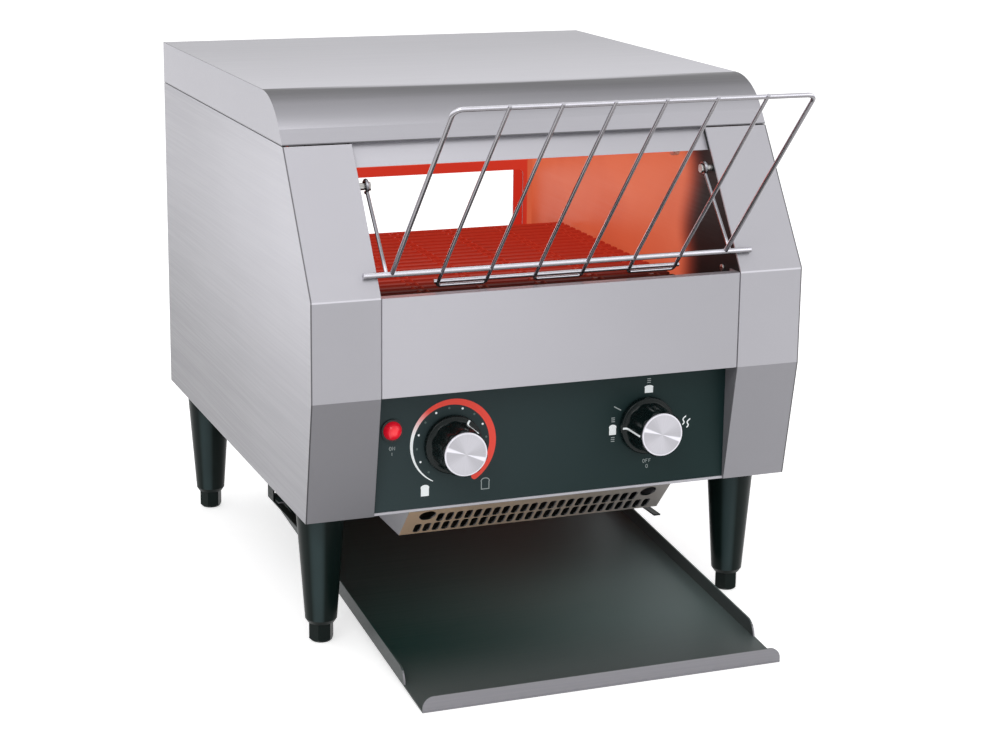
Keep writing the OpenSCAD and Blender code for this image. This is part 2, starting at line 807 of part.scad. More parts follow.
module belt_rails() color("silver") placed() {
    rail_x = 0.75 * drum_pitch;
    rail_t = 2;
    heater_gap = 0.8;
    z0 = lower_reflector_z + sheet_t;
    z1 = belt_top_z - bar_d - belt_gap;
    mirrored_pair() difference() {
        translate([rail_x, run_front_y + rail_in, z0])
            cube([rail_t, run_rear_y - run_front_y - 2 * rail_in, z1 - z0]);
        lower_places() rod_x(rail_x - 1, rail_t + 2, [0, 0], heater_r + heater_gap);
    }
}

// Place number i along the middle of the belt loop, as [y, z]
function belt_point(i) =
    let (
        s = i * loop_l / bar_count,
        half = PI * loop_r,
        r = loop_r
    )
    s < shaft_span ? [front_shaft_y + s, shaft_z + r]
    : s < shaft_span + half ?
        let (a = 90 - (s - shaft_span) / half * 180) [rear_shaft_y + r * cos(a), shaft_z + r * sin(a)]
    : s < 2 * shaft_span + half ? [rear_shaft_y - (s - shaft_span - half), shaft_z - r]
    : let (a = 270 - (s - 2 * shaft_span - half) / half * 180)
        [front_shaft_y + r * cos(a), shaft_z + r * sin(a)];

module belt_strip(x0) {
    r0 = loop_r - strip_h / 2;
    for (s = [-1, 1])
        translate([x0, front_shaft_y, shaft_z + s * loop_r - strip_h / 2])
            cube([strip_w, shaft_span, strip_h]);
    bent_sheet(x0, strip_w, [front_shaft_y, shaft_z], r0, strip_h, 90, 270);
    bent_sheet(x0, strip_w, [rear_shaft_y, shaft_z], r0, strip_h, -90, 90);
}

module conveyor_belt() color("silver") placed() {
    for (i = [0:bar_count - 1]) rod_x(-belt_w / 2, belt_w, belt_point(i), bar_d / 2, $fn = 24);
    for (s = [-1, 1]) belt_strip(s * strip_x - strip_w / 2);
}

module shaft_bushes() color("peru") placed() mirrored_pair() shaft_axes() difference() {
    union() {
        rod_x(open_x - 2, 9, [0, 0], bush_r);
        rod_x(open_x - 4, 4, [0, 0], bush_r + 2.5);
    }
    rod_x(open_x - 5, 14, [0, 0], shaft_r + run_gap);
}

module belt_drums(y) {
    for (i = [0:drum_count - 1]) difference() {
        x0 = (i - (drum_count - 1) / 2) * drum_pitch - drum_w / 2;
        rod_x(x0, drum_w, [y, shaft_z], drum_r);
        rod_x(x0 - 1, drum_w + 2, [y, shaft_z], shaft_r);
    }
}

module drive_shaft() color("lightgray") placed() {
    l = chain_x + chain_w + 2 + open_x + 8;
    rod_x(-open_x - 8, l, [front_shaft_y, shaft_z], shaft_r);
}

module idler_shaft() color("lightgray") placed()
    rod_x(-open_x - 8, 2 * (open_x + 8), [rear_shaft_y, shaft_z], shaft_r);

module drive_drums() color("gray") placed() belt_drums(front_shaft_y);
module idler_drums() color("gray") placed() belt_drums(rear_shaft_y);

// ---- drive ----

module sprocket(p, r, n, bore_r) {
    hub_l = 4;
    notch_r = 1.4;
    difference() {
        union() {
            rod_x(chain_x, chain_w - 2, p, r);
            rod_x(chain_x - hub_l, hub_l, p, bore_r + 3);
        }
        rod_x(chain_x - hub_l - 1, chain_w + hub_l + 2, p, bore_r);
        for (i = [0:n - 1]) rod_x(chain_x - 1, chain_w + 2, p + r * [cos(i * 360 / n), sin(i * 360 / n)],
            notch_r, $fn = 16);
    }
}

module driven_sprocket() color("gray") placed()
    sprocket([front_shaft_y, shaft_z], driven_r, driven_teeth, shaft_r);

module motor_sprocket() color("gray") placed()
    sprocket([motor_y, motor_z], motor_sprocket_r, motor_teeth, output_r);

module drive_chain() color("darkslategray") placed() {
    front_c = [front_shaft_y, shaft_z];
    motor_c = [motor_y, motor_z];
    r1 = driven_r + chain_gap;
    r2 = motor_sprocket_r + chain_gap;
    difference() {
        profile(chain_x - 1, chain_w, band(front_c, r1 + chain_t, motor_c, r2 + chain_t, 24));
        profile(chain_x - 2, chain_w + 2, band(front_c, r1, motor_c, r2, 24));
    }
}

module motor_shaft() color("lightgray") placed() {
    x0 = open_x - gearbox_w + bore_floor + 1;
    rod_x(x0, chain_x + chain_w - x0, [motor_y, motor_z], output_r);
}

module gearbox() color("dimgray") placed() difference() {
    translate([open_x - gearbox_w, motor_y - gearbox_s / 2, motor_z - gearbox_s / 2 + motor_up])
        cube([gearbox_w, gearbox_s, gearbox_s]);
    rod_x(open_x - gearbox_w + bore_floor, gearbox_w, [motor_y, motor_z], output_r + run_gap);
}

module drive_motor() color("dimgray") placed()
    rod_x(open_x - gearbox_w - motor_l, motor_l, [motor_y, motor_z + motor_up], motor_r);

// ---- cooling fan on the left inner plate ----

module fan_housing() color([0.15, 0.15, 0.16]) placed() {
    ring_r = fan_s / 2 - 3;
    plate_w = 3;
    strut_w = 5;
    difference() {
        translate([fan_x0, fan_y - fan_s / 2, fan_z - fan_s / 2]) cube([fan_w, fan_s, fan_s]);
        rod_x(fan_x0 - 1, fan_w + 2, [fan_y, fan_z], ring_r);
    }
    rod_x(fan_x0 + fan_w - plate_w, plate_w, [fan_y, fan_z], hub_r);
    rod_x(fan_x0 + 4, fan_w - 4, [fan_y, fan_z], fan_pin_r);
    reach = ring_r + 1;
    translate([fan_x0 + fan_w - plate_w, fan_y, fan_z]) {
        translate([0, -reach, -strut_w / 2]) cube([plate_w, 2 * reach, strut_w]);
        translate([0, -strut_w / 2, -reach]) cube([plate_w, strut_w, 2 * reach]);
    }
}

module fan_impeller() color([0.2, 0.2, 0.22]) placed() {
    tip_r = fan_s / 2 - 5;
    hub_w = fan_w - impeller_short;
    blade_t = 1.6;
    translate([fan_x0 + 4, fan_y, fan_z]) difference() {
        union() {
            rod_x(0, hub_w, [0, 0], hub_r);
            for (i = [0:blade_count - 1]) rotate([i * 360 / blade_count, 0, 0])
                translate([hub_w / 2, 0, hub_r - 2]) rotate([0, 0, 40])
                    translate([-hub_w / 2 + 1, -blade_t / 2, 0]) cube([hub_w - 2, blade_t, tip_r - hub_r]);
        }
        rod_x(-1, hub_w + 2, [0, 0], fan_pin_r + run_gap);
    }
}

// ---- controls ----

// Body behind the panel and threaded bushing with its nut, round a spindle
module control_body(x, side, deep) {
    nut_r = 8;
    nut_t = 3;
    bushing_out = 8;
    rear = panel_back + sheet_t;
    difference() {
        union() {
            translate([x - side / 2, rear, knob_z - side / 2]) cube([side, deep, side]);
            rod_y(x, rear, knob_z, bushing_r, sheet_t + bushing_out);
            rod_y(x, panel_back, knob_z, nut_r, nut_t, $fn = 6);
        }
        rod_y(x, rear + deep - spindle_in + 1, knob_z, spindle_r + run_gap, sheet_t + deep + bushing_out);
    }
}

module spindle(x, deep) {
    rear = panel_back + sheet_t + deep - spindle_in;
    rod_y(x, rear, knob_z, spindle_r, rear - panel_back + knob_out - spindle_short);
}

module knob(x) {
    rear = panel_back - knob_gap;
    body_l = knob_out - knob_gap - cap_t;
    flute_r = 12;
    flute_deep = 1.2;
    hollow_r = 10.5;
    hollow_l = 10;
    difference() {
        union() {
            rod_y(x, rear, knob_z, skirt_r, skirt_t);
            difference() {
                rod_y(x, rear, knob_z, grip_r, body_l);
                for (i = [0.5:flute_count]) translate([x, 0, knob_z]) rotate([0, i * 360 / flute_count, 0])
                    rod_y(grip_r + flute_r - flute_deep, rear - skirt_t, 0, flute_r, body_l);
            }
        }
        rod_y(x, rear + 1, knob_z, hollow_r, hollow_l + 1);
        rod_y(x, rear, knob_z, spindle_r, knob_out - spindle_short - knob_gap);
    }
}

module knob_cap(x) rod_y(x, panel_back - knob_out + cap_t, knob_z, cap_r, cap_t);

module speed_potentiometer() color("darkslategray") placed() control_body(-speed_x, pot_side, pot_deep);
module speed_shaft() color("silver") placed() spindle(-speed_x, pot_deep);
module speed_knob() color([0.1, 0.11, 0.11]) placed() knob(-speed_x);
module speed_knob_cap() color("silver") placed() knob_cap(-speed_x);
module selector_switch() color("darkslategray") placed()
    control_body(selector_x, switch_side, switch_deep);
module selector_shaft() color("silver") placed() spindle(selector_x, switch_deep);
module selector_knob() color([0.1, 0.11, 0.11]) placed() knob(selector_x);
module selector_knob_cap() color("silver") placed() knob_cap(selector_x);

module lamp_holder() color([0.1, 0.11, 0.11]) placed() difference() {
    union() {
        rod_y(-lamp_x, panel_back, lamp_z, lens_r + 1.2, bezel_t);
        rod_y(-lamp_x, panel_back + lamp_l, lamp_z, lens_r - 1, lamp_l);
    }
    rod_y(-lamp_x, panel_back + stem_l, lamp_z, lens_stem_r, 2 * stem_l);
}

module lamp_lens() color("red") placed() {
    dome_h = lens_r * 0.75;
    front = panel_back - bezel_t;
    rod_y(-lamp_x, panel_back + stem_l, lamp_z, lens_stem_r, stem_l + bezel_t);
    intersection() {
        translate([-lamp_x, front + lens_r - dome_h, lamp_z]) sphere(r = lens_r);
        rod_y(-lamp_x, front, lamp_z, lens_r + 1, lens_r);
    }
}

module control_board() color("seagreen") placed() {
    board_w = 84;
    board_h = 60;
    board_t = 1.6;
    stand = 8;
    x0 = fan_x0 + fan_w + board_gap;
    y0 = bulkhead_y - stand - board_t;
    z0 = deck_z + board_up;
    translate([x0, y0, z0]) cube([board_w, board_t, board_h]);
    for (x = [x0 + 5, x0 + board_w - 5], z = [z0 + 5, z0 + board_h - 5])
        rod_y(x, bulkhead_y, z, 3, stand + small);
    translate([x0 + 12, y0 - 16, z0 + 10]) cube([30, 16 + small, 34]);
}

function gland_x() = -body_w / 2 + column_w / 2;
function gland_z() = base_z + 30;
function gland_r() = gland_hole_r + 6;

module terminal_block() color("ivory") placed()
    translate([gland_x() - 11, rear_shaft_y, deck_z]) difference() {
        cube([22, 44, 18]);
        for (i = [0:2]) translate([11, 8 + i * 14, 8]) cylinder(r = 3.4, h = 12);
    }

module cable_gland() color([0.12, 0.12, 0.12]) placed() difference() {
    union() {
        rod_y(gland_x(), body_d + gland_out, gland_z(), gland_r(), gland_out);
        rod_y(gland_x(), body_d, gland_z(), gland_r() - 2, 16);
        rod_y(gland_x(), rear_in_y, gland_z(), gland_r() + 2, 5, $fn = 6);
    }
    rod_y(gland_x(), body_d + gland_out + 1, gland_z(), gland_hole_r, gland_out + 20);
}

// ---- fasteners ----

module case_screws() color("silver") placed() {
    edge = 10;
    x1 = body_w / 2 - sheet_t - edge;
    for (sx = [-1, 1], z = [base_z + edge, (base_z + seam_z) / 2, seam_z - edge])
        rod_y(sx * x1, body_d + screw_t, z, screw_r, screw_t);
    for (x = [-x1, 0, x1]) rod_y(x, body_d + screw_t, top_z - skirt_h / 2, screw_r, screw_t);
    mirrored_pair() for (z = [nose_low_z + edge, nose_top_z - seam - 2 * sheet_t - edge])
        rod_x(open_x - sheet_t - screw_t, screw_t, [side_flange - 4, z], screw_r);
}

// ---- tray and its rails ----

function tray_z(y) = (y + tray_out) * tan(tray_a);

module toast_tray() color("dimgray") placed() {
    lip = -tray_out;
    wall_front = lip + tray_gap;
    nose_r = tray_wall_h - tray_t;
    lip_r = 0.7 * tray_lip_h;
    floor_path = [[lip, 0], [tray_in, tray_z(tray_in)]];
    profile(tray_left, tray_w, sheet_outline(floor_path, tray_t));
    translate([0, lip + tray_t, 0]) rotate([90, 0, 0]) linear_extrude(tray_t) polygon(concat(
        [[tray_left, 0], [tray_right, 0]],
        arc([tray_right - lip_r, tray_lip_h - lip_r], lip_r, 0, 90, 8),
        arc([tray_left + lip_r, tray_lip_h - lip_r], lip_r, 90, 180, 8)
    ));
    wall_nose = [
        for (i = [0:8]) let (y = wall_front + nose_r * (1 - cos(90 * i / 8)))
            [y, tray_z(y) + tray_wall_h * sin(90 * i / 8)]
    ];
    wall_rear = [[tray_in, tray_z(tray_in)], [tray_in, tray_z(tray_in) + tray_wall_h]];
    for (x = [tray_left, tray_right - tray_t])
        profile(x, tray_t, concat(wall_rear, reversed(wall_nose)));
    for (x = [tray_left - ear_w, tray_right - small])
        translate([x, tray_in - ear_l, ear_top() - tray_t]) cube([ear_w + small, ear_l, tray_t]);
}

// Top of the tray's ears
function ear_top() = tray_z(tray_in - ear_l) + tray_wall_h;

// Ledges under the ears, hung from the base
module tray_rails() color([0.2, 0.2, 0.2]) placed() {
    z0 = ear_top() - 2 * tray_t - tray_clear;
    y0 = tray_in + rail_over - rail_l;
    edge = ear_w + tray_clear;
    ledge_w = edge + tray_t - tray_clear;
    for (side = [-1, 1]) {
        x = side < 0 ? tray_left - edge - tray_t : tray_right + tray_clear;
        strap_x = side < 0 ? x : x + ledge_w - tray_t;
        translate([x, y0, z0]) cube([ledge_w, rail_l, tray_t]);
        for (y = [y0 + strap_in, y0 + rail_l - strap_w])
            translate([strap_x, y, z0]) cube([tray_t, strap_w, base_z - z0]);
    }
}

// ---- loading rack ----

function at_x(x, p) = [x, p[0], p[1]];

// A bend of round wire about the Z axis. It is a touch thicker than the wire, whose straight
// ends run into it
module wire_bend(bend_r, r, a) {
    rotate_extrude(angle = a, $fn = 32) translate([bend_r, 0]) circle(r = r + bend_swell, $fn = 24);
}

module rack_corner(sx) {
    c = at_x(sx * (rack_x - corner_r), rack_top - corner_r * rack_dir);
    translate(c) rotate([180 - rack_a, 0, 0]) mirror([sx < 0 ? 1 : 0, 0, 0])
        wire_bend(corner_r, frame_r, 90);
}

module rack_frame() {
    side_end = rack_top - (corner_r - bend_into) * rack_dir;
    bar_x = rack_x - corner_r + bend_into;
    for (sx = [-1, 1]) {
        wire(at_x(sx * rack_x, rod_p), at_x(sx * rack_x, side_end), frame_r);
        rack_corner(sx);
    }
    rod_x(-bar_x, 2 * bar_x, rack_top, frame_r);
}

// Wires 2i and 2i+1, joined by a U bend below the second rod
module wire_pair(i) {
    bend_r = 3;
    xa = wire_xs[2 * i];
    xb = wire_xs[2 * i + 1];
    low = second_p - rack_dir + wire_shift;
    bottom = low - bend_r * rack_dir;
    for (x = [xa, xb]) wire(at_x(x, low - bend_into * rack_dir), at_x(x, wire_top), wire_r);
    for (s = [[xa + bend_r, 1], [xb - bend_r, 0]]) translate(at_x(s[0], low))
        rotate([-rack_a, 0, 0]) mirror([s[1], 0, 0]) wire_bend(bend_r, wire_r, 90);
    rod_x(xa + bend_r - bend_into, xb - xa - 2 * (bend_r - bend_into), bottom, wire_r);
}

module rack_hook(sx) {
    pin = [pin_y, pin_z];
    start = rod_p;
    end = pin + hook_r * unit(start - pin);
    wire(at_x(sx * hook_x, start), at_x(sx * hook_x, end), wire_r);
    turn = atan2((start - pin)[1], (start - pin)[0]);
    translate(at_x(sx * hook_x, pin)) rotate([90, 0, 90]) rotate([0, 0, turn - 270 + hook_past])
        wire_bend(hook_r, wire_r, 270);
}

module loading_rack() color("silver") placed() {
    rod_half = open_x + rod_reach;
    rod_x(-rod_half, 2 * rod_half, rod_p, rod_r);
    second_half = abs(wire_xs[0]) + 3;
    rod_x(-second_half, 2 * second_half, second_p, frame_r);
    rack_frame();
    for (i = [0:wire_count / 2 - 1]) wire_pair(i);
    for (sx = [-1, 1]) rack_hook(sx);
}

module rack_pins() color("silver") placed() mirrored_pair() {
    inner_x = hook_x - wire_r - rack_clear;
    rod_x(inner_x, open_x - inner_x, [pin_y, pin_z], pin_r);
    rod_x(inner_x - 1.4, 1.4, [pin_y, pin_z], pin_r + 0.6);
}

// ---- legs and feet ----

module legs() color([0.08, 0.1, 0.1]) placed() leg_places() difference() {
    union() {
        rotate_extrude() polygon([
            [0, foot_h], [leg_low_r - 2, foot_h], [leg_low_r, foot_h + 3], [leg_top_r, base_z],
            [stud_r, base_z], [stud_r, deck_z + 8], [0, deck_z + 8]
        ]);
        translate([0, 0, deck_z]) cylinder(r = stud_r + 3, h = 5, $fn = 6);
    }
    translate([0, 0, foot_h - 1]) cylinder(r = stud_r + run_gap, h = foot_stud_l + 3);
}

module foot(x, y) translate([x, y, 0]) {
    bevel = 2;
    gap = 0.4;
    intersection() {
        cylinder(r = foot_r, h = foot_h - gap, $fn = 6);
        cylinder(r1 = foot_r - bevel, r2 = foot_r - bevel + foot_h, h = foot_h);
    }
    translate([0, 0, foot_h - gap - small]) cylinder(r = stud_r, h = foot_stud_l);
}

module front_left_foot() color([0.08, 0.1, 0.1]) placed() foot(-leg_x, leg_front_y);
module front_right_foot() color([0.08, 0.1, 0.1]) placed() foot(leg_x, leg_front_y);
module rear_left_foot() color([0.08, 0.1, 0.1]) placed() foot(-leg_x, body_d - leg_rear_gap);
module rear_right_foot() color([0.08, 0.1, 0.1]) placed() foot(leg_x, body_d - leg_rear_gap);

base_frame();
left_side_panel();
right_side_panel();
left_inner_plate();
right_inner_plate();
top_cover();
rear_panel();
front_cover();
header_strip();
control_panel();
control_bulkhead();
intake_grille();
upper_reflector();
insulation_blanket();
rear_wall();
window_duct();
toast_chute();
upper_heaters();
lower_heaters();
heater_insulators();
lower_reflector();
belt_rails();
conveyor_belt();
shaft_bushes();
drive_shaft();
drive_drums();
driven_sprocket();
idler_shaft();
idler_drums();
motor_shaft();
motor_sprocket();
drive_chain();
gearbox();
drive_motor();
fan_housing();
fan_impeller();
speed_potentiometer();
speed_shaft();
speed_knob();
speed_knob_cap();
selector_switch();
selector_shaft();
selector_knob();
selector_knob_cap();
lamp_holder();
lamp_lens();
control_board();
terminal_block();
cable_gland();
case_screws();
tray_rails();
toast_tray();
loading_rack();
rack_pins();
legs();
front_left_foot();
front_right_foot();
rear_left_foot();
rear_right_foot();
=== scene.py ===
"""Conveyor toaster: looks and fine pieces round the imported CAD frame.

Places are given in millimetres from the nose of the casing: X to the right, Y back from the nose
and Z up from the table. at() turns them into the part's own frame in metres.
"""
import json
import math

import bmesh
import bpy
from mathutils import Matrix, Vector


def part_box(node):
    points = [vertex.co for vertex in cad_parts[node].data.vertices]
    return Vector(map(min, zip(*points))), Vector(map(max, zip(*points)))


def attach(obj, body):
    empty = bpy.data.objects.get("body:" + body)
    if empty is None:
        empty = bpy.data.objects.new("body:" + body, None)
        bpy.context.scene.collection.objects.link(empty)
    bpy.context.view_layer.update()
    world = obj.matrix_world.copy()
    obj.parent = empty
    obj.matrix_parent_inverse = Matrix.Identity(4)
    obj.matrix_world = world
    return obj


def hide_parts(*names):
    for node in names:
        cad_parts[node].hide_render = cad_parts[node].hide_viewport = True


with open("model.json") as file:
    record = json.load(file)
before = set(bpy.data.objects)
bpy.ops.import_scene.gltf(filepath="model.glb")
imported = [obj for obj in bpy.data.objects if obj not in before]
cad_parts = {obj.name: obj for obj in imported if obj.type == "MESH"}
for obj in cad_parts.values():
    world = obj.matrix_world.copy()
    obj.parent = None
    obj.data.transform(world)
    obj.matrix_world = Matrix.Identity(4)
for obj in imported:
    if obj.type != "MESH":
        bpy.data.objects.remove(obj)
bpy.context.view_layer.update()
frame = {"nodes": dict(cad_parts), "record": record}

MM = 0.001
TAU = 2 * math.pi
NODES = frame["nodes"]
NOSE_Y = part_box("front_cover")[0].y


def at(x, y, z):
    return Vector((x * MM, NOSE_Y + y * MM, z * MM))


def mm_box(node):
    """Lowest and highest corner of a CAD node in millimetres from the nose."""
    return [Vector((c.x, c.y - NOSE_Y, c.z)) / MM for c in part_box(node)]


def mm_middle(node):
    low, high = mm_box(node)
    return (low + high) / 2


# ---- measures taken from the CAD nodes, in millimetres from the nose ----
PANEL_Y = mm_box("control_panel")[0].y
SPEED = mm_middle("speed_knob")
SELECTOR = mm_middle("selector_knob")
LAMP = mm_middle("lamp_holder")
OPEN_X = mm_box("header_strip")[1].x
NOSE_LOW, NOSE_TOP = (corner.z for corner in mm_box("front_cover"))
HEADER_LOW = mm_box("header_strip")[0]
OPEN_LEAN = HEADER_LOW.y / (HEADER_LOW.z - NOSE_TOP)
CASE_LOW = mm_box("left_side_panel")[0].z
CASE_HALF = mm_box("right_side_panel")[1].x
SKIRT_LOW, CASE_TOP = (corner.z for corner in mm_box("top_cover"))
CASE_DEEP = mm_box("rear_panel")[1].y
WINDOW = mm_middle("window_duct")
WINDOW_HALF = mm_box("window_duct")[1].x
WINDOW_LOW = mm_box("window_duct")[0].z


# ================================ materials ================================
UNTOUCHED = (1.0, 1.0, 1.0)


def tint(colour, share):
    return tuple(c * share for c in colour)


def grey(level):
    """The slightly violet grey of the sheet at one level."""
    return (level, level * 0.985, level * 1.065)


class Shader:
    """One material's node tree, built step by step."""

    def __init__(self, name):
        self.material = bpy.data.materials.new(name)
        self.material.use_nodes = True
        self.tree = self.material.node_tree
        self.tree.nodes.clear()
        self.place = self.add("TexCoord").outputs["Object"]

    def add(self, kind, inputs=None, **settings):
        node = self.tree.nodes.new("ShaderNode" + kind)
        for key, value in settings.items():
            setattr(node, key, value)
        for key, value in (inputs or {}).items():
            self.feed(node.inputs[key], value)
        return node

    def feed(self, socket, value):
        """Links a socket's source, or sets its value."""
        if isinstance(value, bpy.types.NodeSocket):
            self.tree.links.new(value, socket)
        else:
            socket.default_value = (*value, 1.0) if socket.type == "RGBA" else value

    def math(self, operation, a, b=0.0):
        return self.add("Math", {0: a, 1: b}, operation=operation).outputs[0]

    def span(self, value, low, high, to_low=0.0, to_high=1.0):
        """The value carried from low..high to to_low..to_high, and held there."""
        inputs = {"Value": value, "From Min": low, "From Max": high,
                  "To Min": to_low, "To Max": to_high}
        return self.add("MapRange", inputs, interpolation_type="SMOOTHSTEP").outputs["Result"]

    def axes(self, vector=None):
        return self.add("SeparateXYZ", {"Vector": vector or self.place}).outputs

    def normal(self):
        return self.axes(self.add("NewGeometry").outputs["Normal"])

    def noise(self, scale, detail=3.0):
        where = self.add("Mapping", {"Vector": self.place, "Scale": scale}).outputs[0]
        return self.add("TexNoise", {"Vector": where, "Scale": 1.0, "Detail": detail}).outputs[0]

    def ramp(self, value, stops):
        node = self.add("ValToRGB", {"Fac": value})
        elements = node.color_ramp.elements
        while len(elements) < len(stops):
            elements.new(0.5)
        for element, (position, colour) in zip(elements, stops):
            element.position = position
            element.color = (*colour, 1.0)
        return node.outputs["Color"]

    def fade(self, value, least, low=0.3, high=0.7):
        """A grey share that rises from least where the value is low to one where it is high."""
        return self.ramp(value, [(low, (least,) * 3), (high, UNTOUCHED)])

    def mix(self, share, a, b, blend="MIX"):
        node = self.add("Mix", {0: share}, data_type="RGBA", blend_type=blend)
        self.feed(node.inputs[6], a)
        self.feed(node.inputs[7], b)
        return node.outputs[2]

    def times(self, a, b):
        return self.mix(1.0, a, b, "MULTIPLY")

    def bump(self, height, strength, distance=0.0005):
        inputs = {"Height": height, "Strength": strength, "Distance": distance}
        return self.add("Bump", inputs).outputs[0]

    def finish(self, colour, roughness, metallic=0.0, normal=None, glow=None, glow_strength=1.0,
               **constants):
        """Ends the tree in a principled shader. Further constants are its sockets by name."""
        inputs = {"Base Color": colour, "Roughness": roughness, "Metallic": metallic}
        if normal is not None:
            inputs["Normal"] = normal
        if glow is not None:
            inputs["Emission Color"] = glow
            inputs["Emission Strength"] = glow_strength
        inputs.update({key.replace("_", " "): value for key, value in constants.items()})
        shader = self.add("BsdfPrincipled", inputs)
        output = self.add("OutputMaterial", {"Surface": shader.outputs[0]})
        output.is_active_output = True
        return self.material


GRAIN_X = (9, 900, 900)
GRAIN_Y = (900, 9, 900)


def brushed(shader, grain, tone, depth=0.035):
    """Colour, roughness and normal of brushed sheet, with its grain stretched by scale grain."""
    streak = shader.noise(grain, 5.0)
    cloud = shader.noise((7, 7, 7), 2.0)
    fine = shader.fade(streak, 1 - depth, 0.25, 0.75)
    broad = shader.fade(cloud, 0.965)
    colour = shader.times(shader.times(tone, fine), broad)
    roughness = shader.span(streak, 0.3, 0.7, 0.36, 0.46)
    return colour, roughness, shader.bump(streak, 0.05, 0.0002)


def satin_sheet(name, grain, painted_light_tone, metallic=0.45, depth=0.03, specular=0.5):
    """Satin sheet. The given tone function (shader, normal, place) paints light and shade into its
    tone, by the faces' direction and by place.
    """
    shader = Shader(name)
    tone = painted_light_tone(shader, shader.normal(), shader.axes())
    colour, roughness, bump = brushed(shader, grain, tone, depth)
    return shader.finish(colour, roughness, metallic, bump, Specular_IOR_Level=specular)


def rightward(shader, place):
    """0 at the opening's left end to 1 at its right end."""
    return shader.span(place[0], -OPEN_X * MM, OPEN_X * MM)


def backward(shader, place, first=0, last=CASE_DEEP):
    """0 at first to 1 at last, both in millimetres back from the nose."""
    return shader.span(place[1], at(0, first, 0).y, at(0, last, 0).y)


# Painted shade lines at corners and seams, as a share of the sheet's tone, and the widths of a
# painted highlight along the columns' bend. Widths are in millimetres.
EDGE_SHADE = (0.3, 0.3, 0.3)
BEND_NEAR, BEND_FAR = 0.3, 0.9
RIM_START, RIM_FULL = 1.2, 0.8
SEAM_START, SEAM_FULL = 1.0, 0.6
SIDE_SEAM = 0.4

# Tones with painted light and shade: each sheet lighter or darker by the way its faces turn and by
# place, as the light falls.
# Pairs of tones go from the lower to the upper end, from the front to the rear, or from the left to
# the right.
# Painted light on the flanks: paler towards the top, with painted shade towards the rear.
FLANK_TONES = grey(0.31), grey(0.6)
FLANK_REAR_SHADE = (0.74, 0.74, 0.74)
# Painted light and shade on the columns: the nose, the slope above it and the darker chin below.
NOSE_TONES = grey(0.41), grey(0.45)
SLOPE_TONES = grey(0.56), grey(0.48)
CHIN_TONES = grey(0.215), grey(0.29)
# Painted highlight along the columns' bend.
BEND_HIGHLIGHT_TONE = grey(0.72)
# Painted light on the top cover: darker towards the rear, its sides, and a painted dark reflection
# band where it bends over.
TOP_FLAT_TONES = grey(0.55), grey(0.39)
TOP_SIDE_TONE = grey(0.54)
TOP_BEND_REFLECTION_STOPS = [(0.0, grey(0.56)), (0.45, grey(0.54)), (0.62, grey(0.45)), (0.8, grey(0.27)),
                  (0.93, grey(0.12)), (0.98, grey(0.09)), (0.994, grey(0.42))]
# Painted light: front cover and header paler at the left, plain sheet paler on faces that turn up.
FRONT_TONES = grey(0.52), grey(0.425)
HEADER_TONES = grey(0.62), grey(0.5)
PLAIN_TONES = grey(0.46), grey(0.54)
# Painted light on the grille: warm chamber light and reflection at the left, grey at the right;
# painted shade at its holes; its end plates' tone.
GRILLE_TONES = (0.98, 0.68, 0.46), (0.4, 0.38, 0.37)
GRILLE_HOLE_SHADE, GRILLE_END = (0.012, 0.018, 0.018), grey(0.36)
# Painted shade on the tray: floor near black at the left under the casing, greyer at the right and
# front; walls and lip toned by their direction.
TRAY_FLOOR_TONES = (0.004, 0.027, 0.023), (0.13, 0.17, 0.165)
TRAY_FRONT_TONE = (0.088, 0.102, 0.1)
TRAY_WALL_TONE, TRAY_LIP_TONE = (0.075, 0.085, 0.085), grey(0.32)
# Painted shade: near black, a little lighter on faces that turn up.
CHUTE_SHADE_TONES = (0.003, 0.009, 0.008), (0.005, 0.013, 0.011)
# Painted light on the chamber's plain sheet: paler on faces that turn up.
INNER_TONES = grey(0.28), grey(0.34)
# Painted light on the control panel: paler at the left.
PANEL_TONES = (0.031, 0.05, 0.053), (0.007, 0.024, 0.024)


def side_painted_light(shader, normal, place):
    """Side panels with painted light: flanks paler towards their top and front, and columns toned
    by how they lean.

    The columns have a painted highlight line at their bend and painted shade lines at their
    corners.
    """
    height = shader.span(place[2], CASE_LOW * MM, 0.85 * CASE_TOP * MM)
    flank = shader.mix(height, *FLANK_TONES)
    flank = shader.times(flank, shader.mix(backward(shader, place), UNTOUCHED, FLANK_REAR_SHADE))
    across = rightward(shader, place)
    nose = shader.mix(across, *NOSE_TONES)
    slope = shader.mix(across, *SLOPE_TONES)
    chin = shader.mix(across, *CHIN_TONES)
    front = shader.mix(shader.span(normal[2], 0.04, 0.16), nose, slope)
    front = shader.mix(shader.span(normal[2], -0.03, -0.14), front, chin)
    # Painted highlight along the bend at the top of the nose.
    from_bend = shader.math("ABSOLUTE", shader.math("SUBTRACT", place[2], NOSE_TOP * MM))
    off_bend = shader.span(from_bend, BEND_NEAR * MM, BEND_FAR * MM)
    front = shader.mix(off_bend, BEND_HIGHLIGHT_TONE, front)
    sideways = shader.math("ABSOLUTE", normal[0])
    flanks = shader.span(sideways, 0.5, 0.9)
    # Painted shade lines at the corners and along the rim of the case.
    corner = shader.math("MULTIPLY", sideways, shader.math("ABSOLUTE", normal[1]))
    rim = shader.span(shader.math("ABSOLUTE", place[0]), (CASE_HALF - RIM_START) * MM,
                      (CASE_HALF - RIM_FULL) * MM)
    line = shader.math("MAXIMUM", shader.span(corner, 0.2, 0.4),
                       shader.math("SUBTRACT", rim, flanks))
    tone = shader.mix(flanks, front, flank)
    return shader.times(tone, shader.mix(line, UNTOUCHED, EDGE_SHADE))


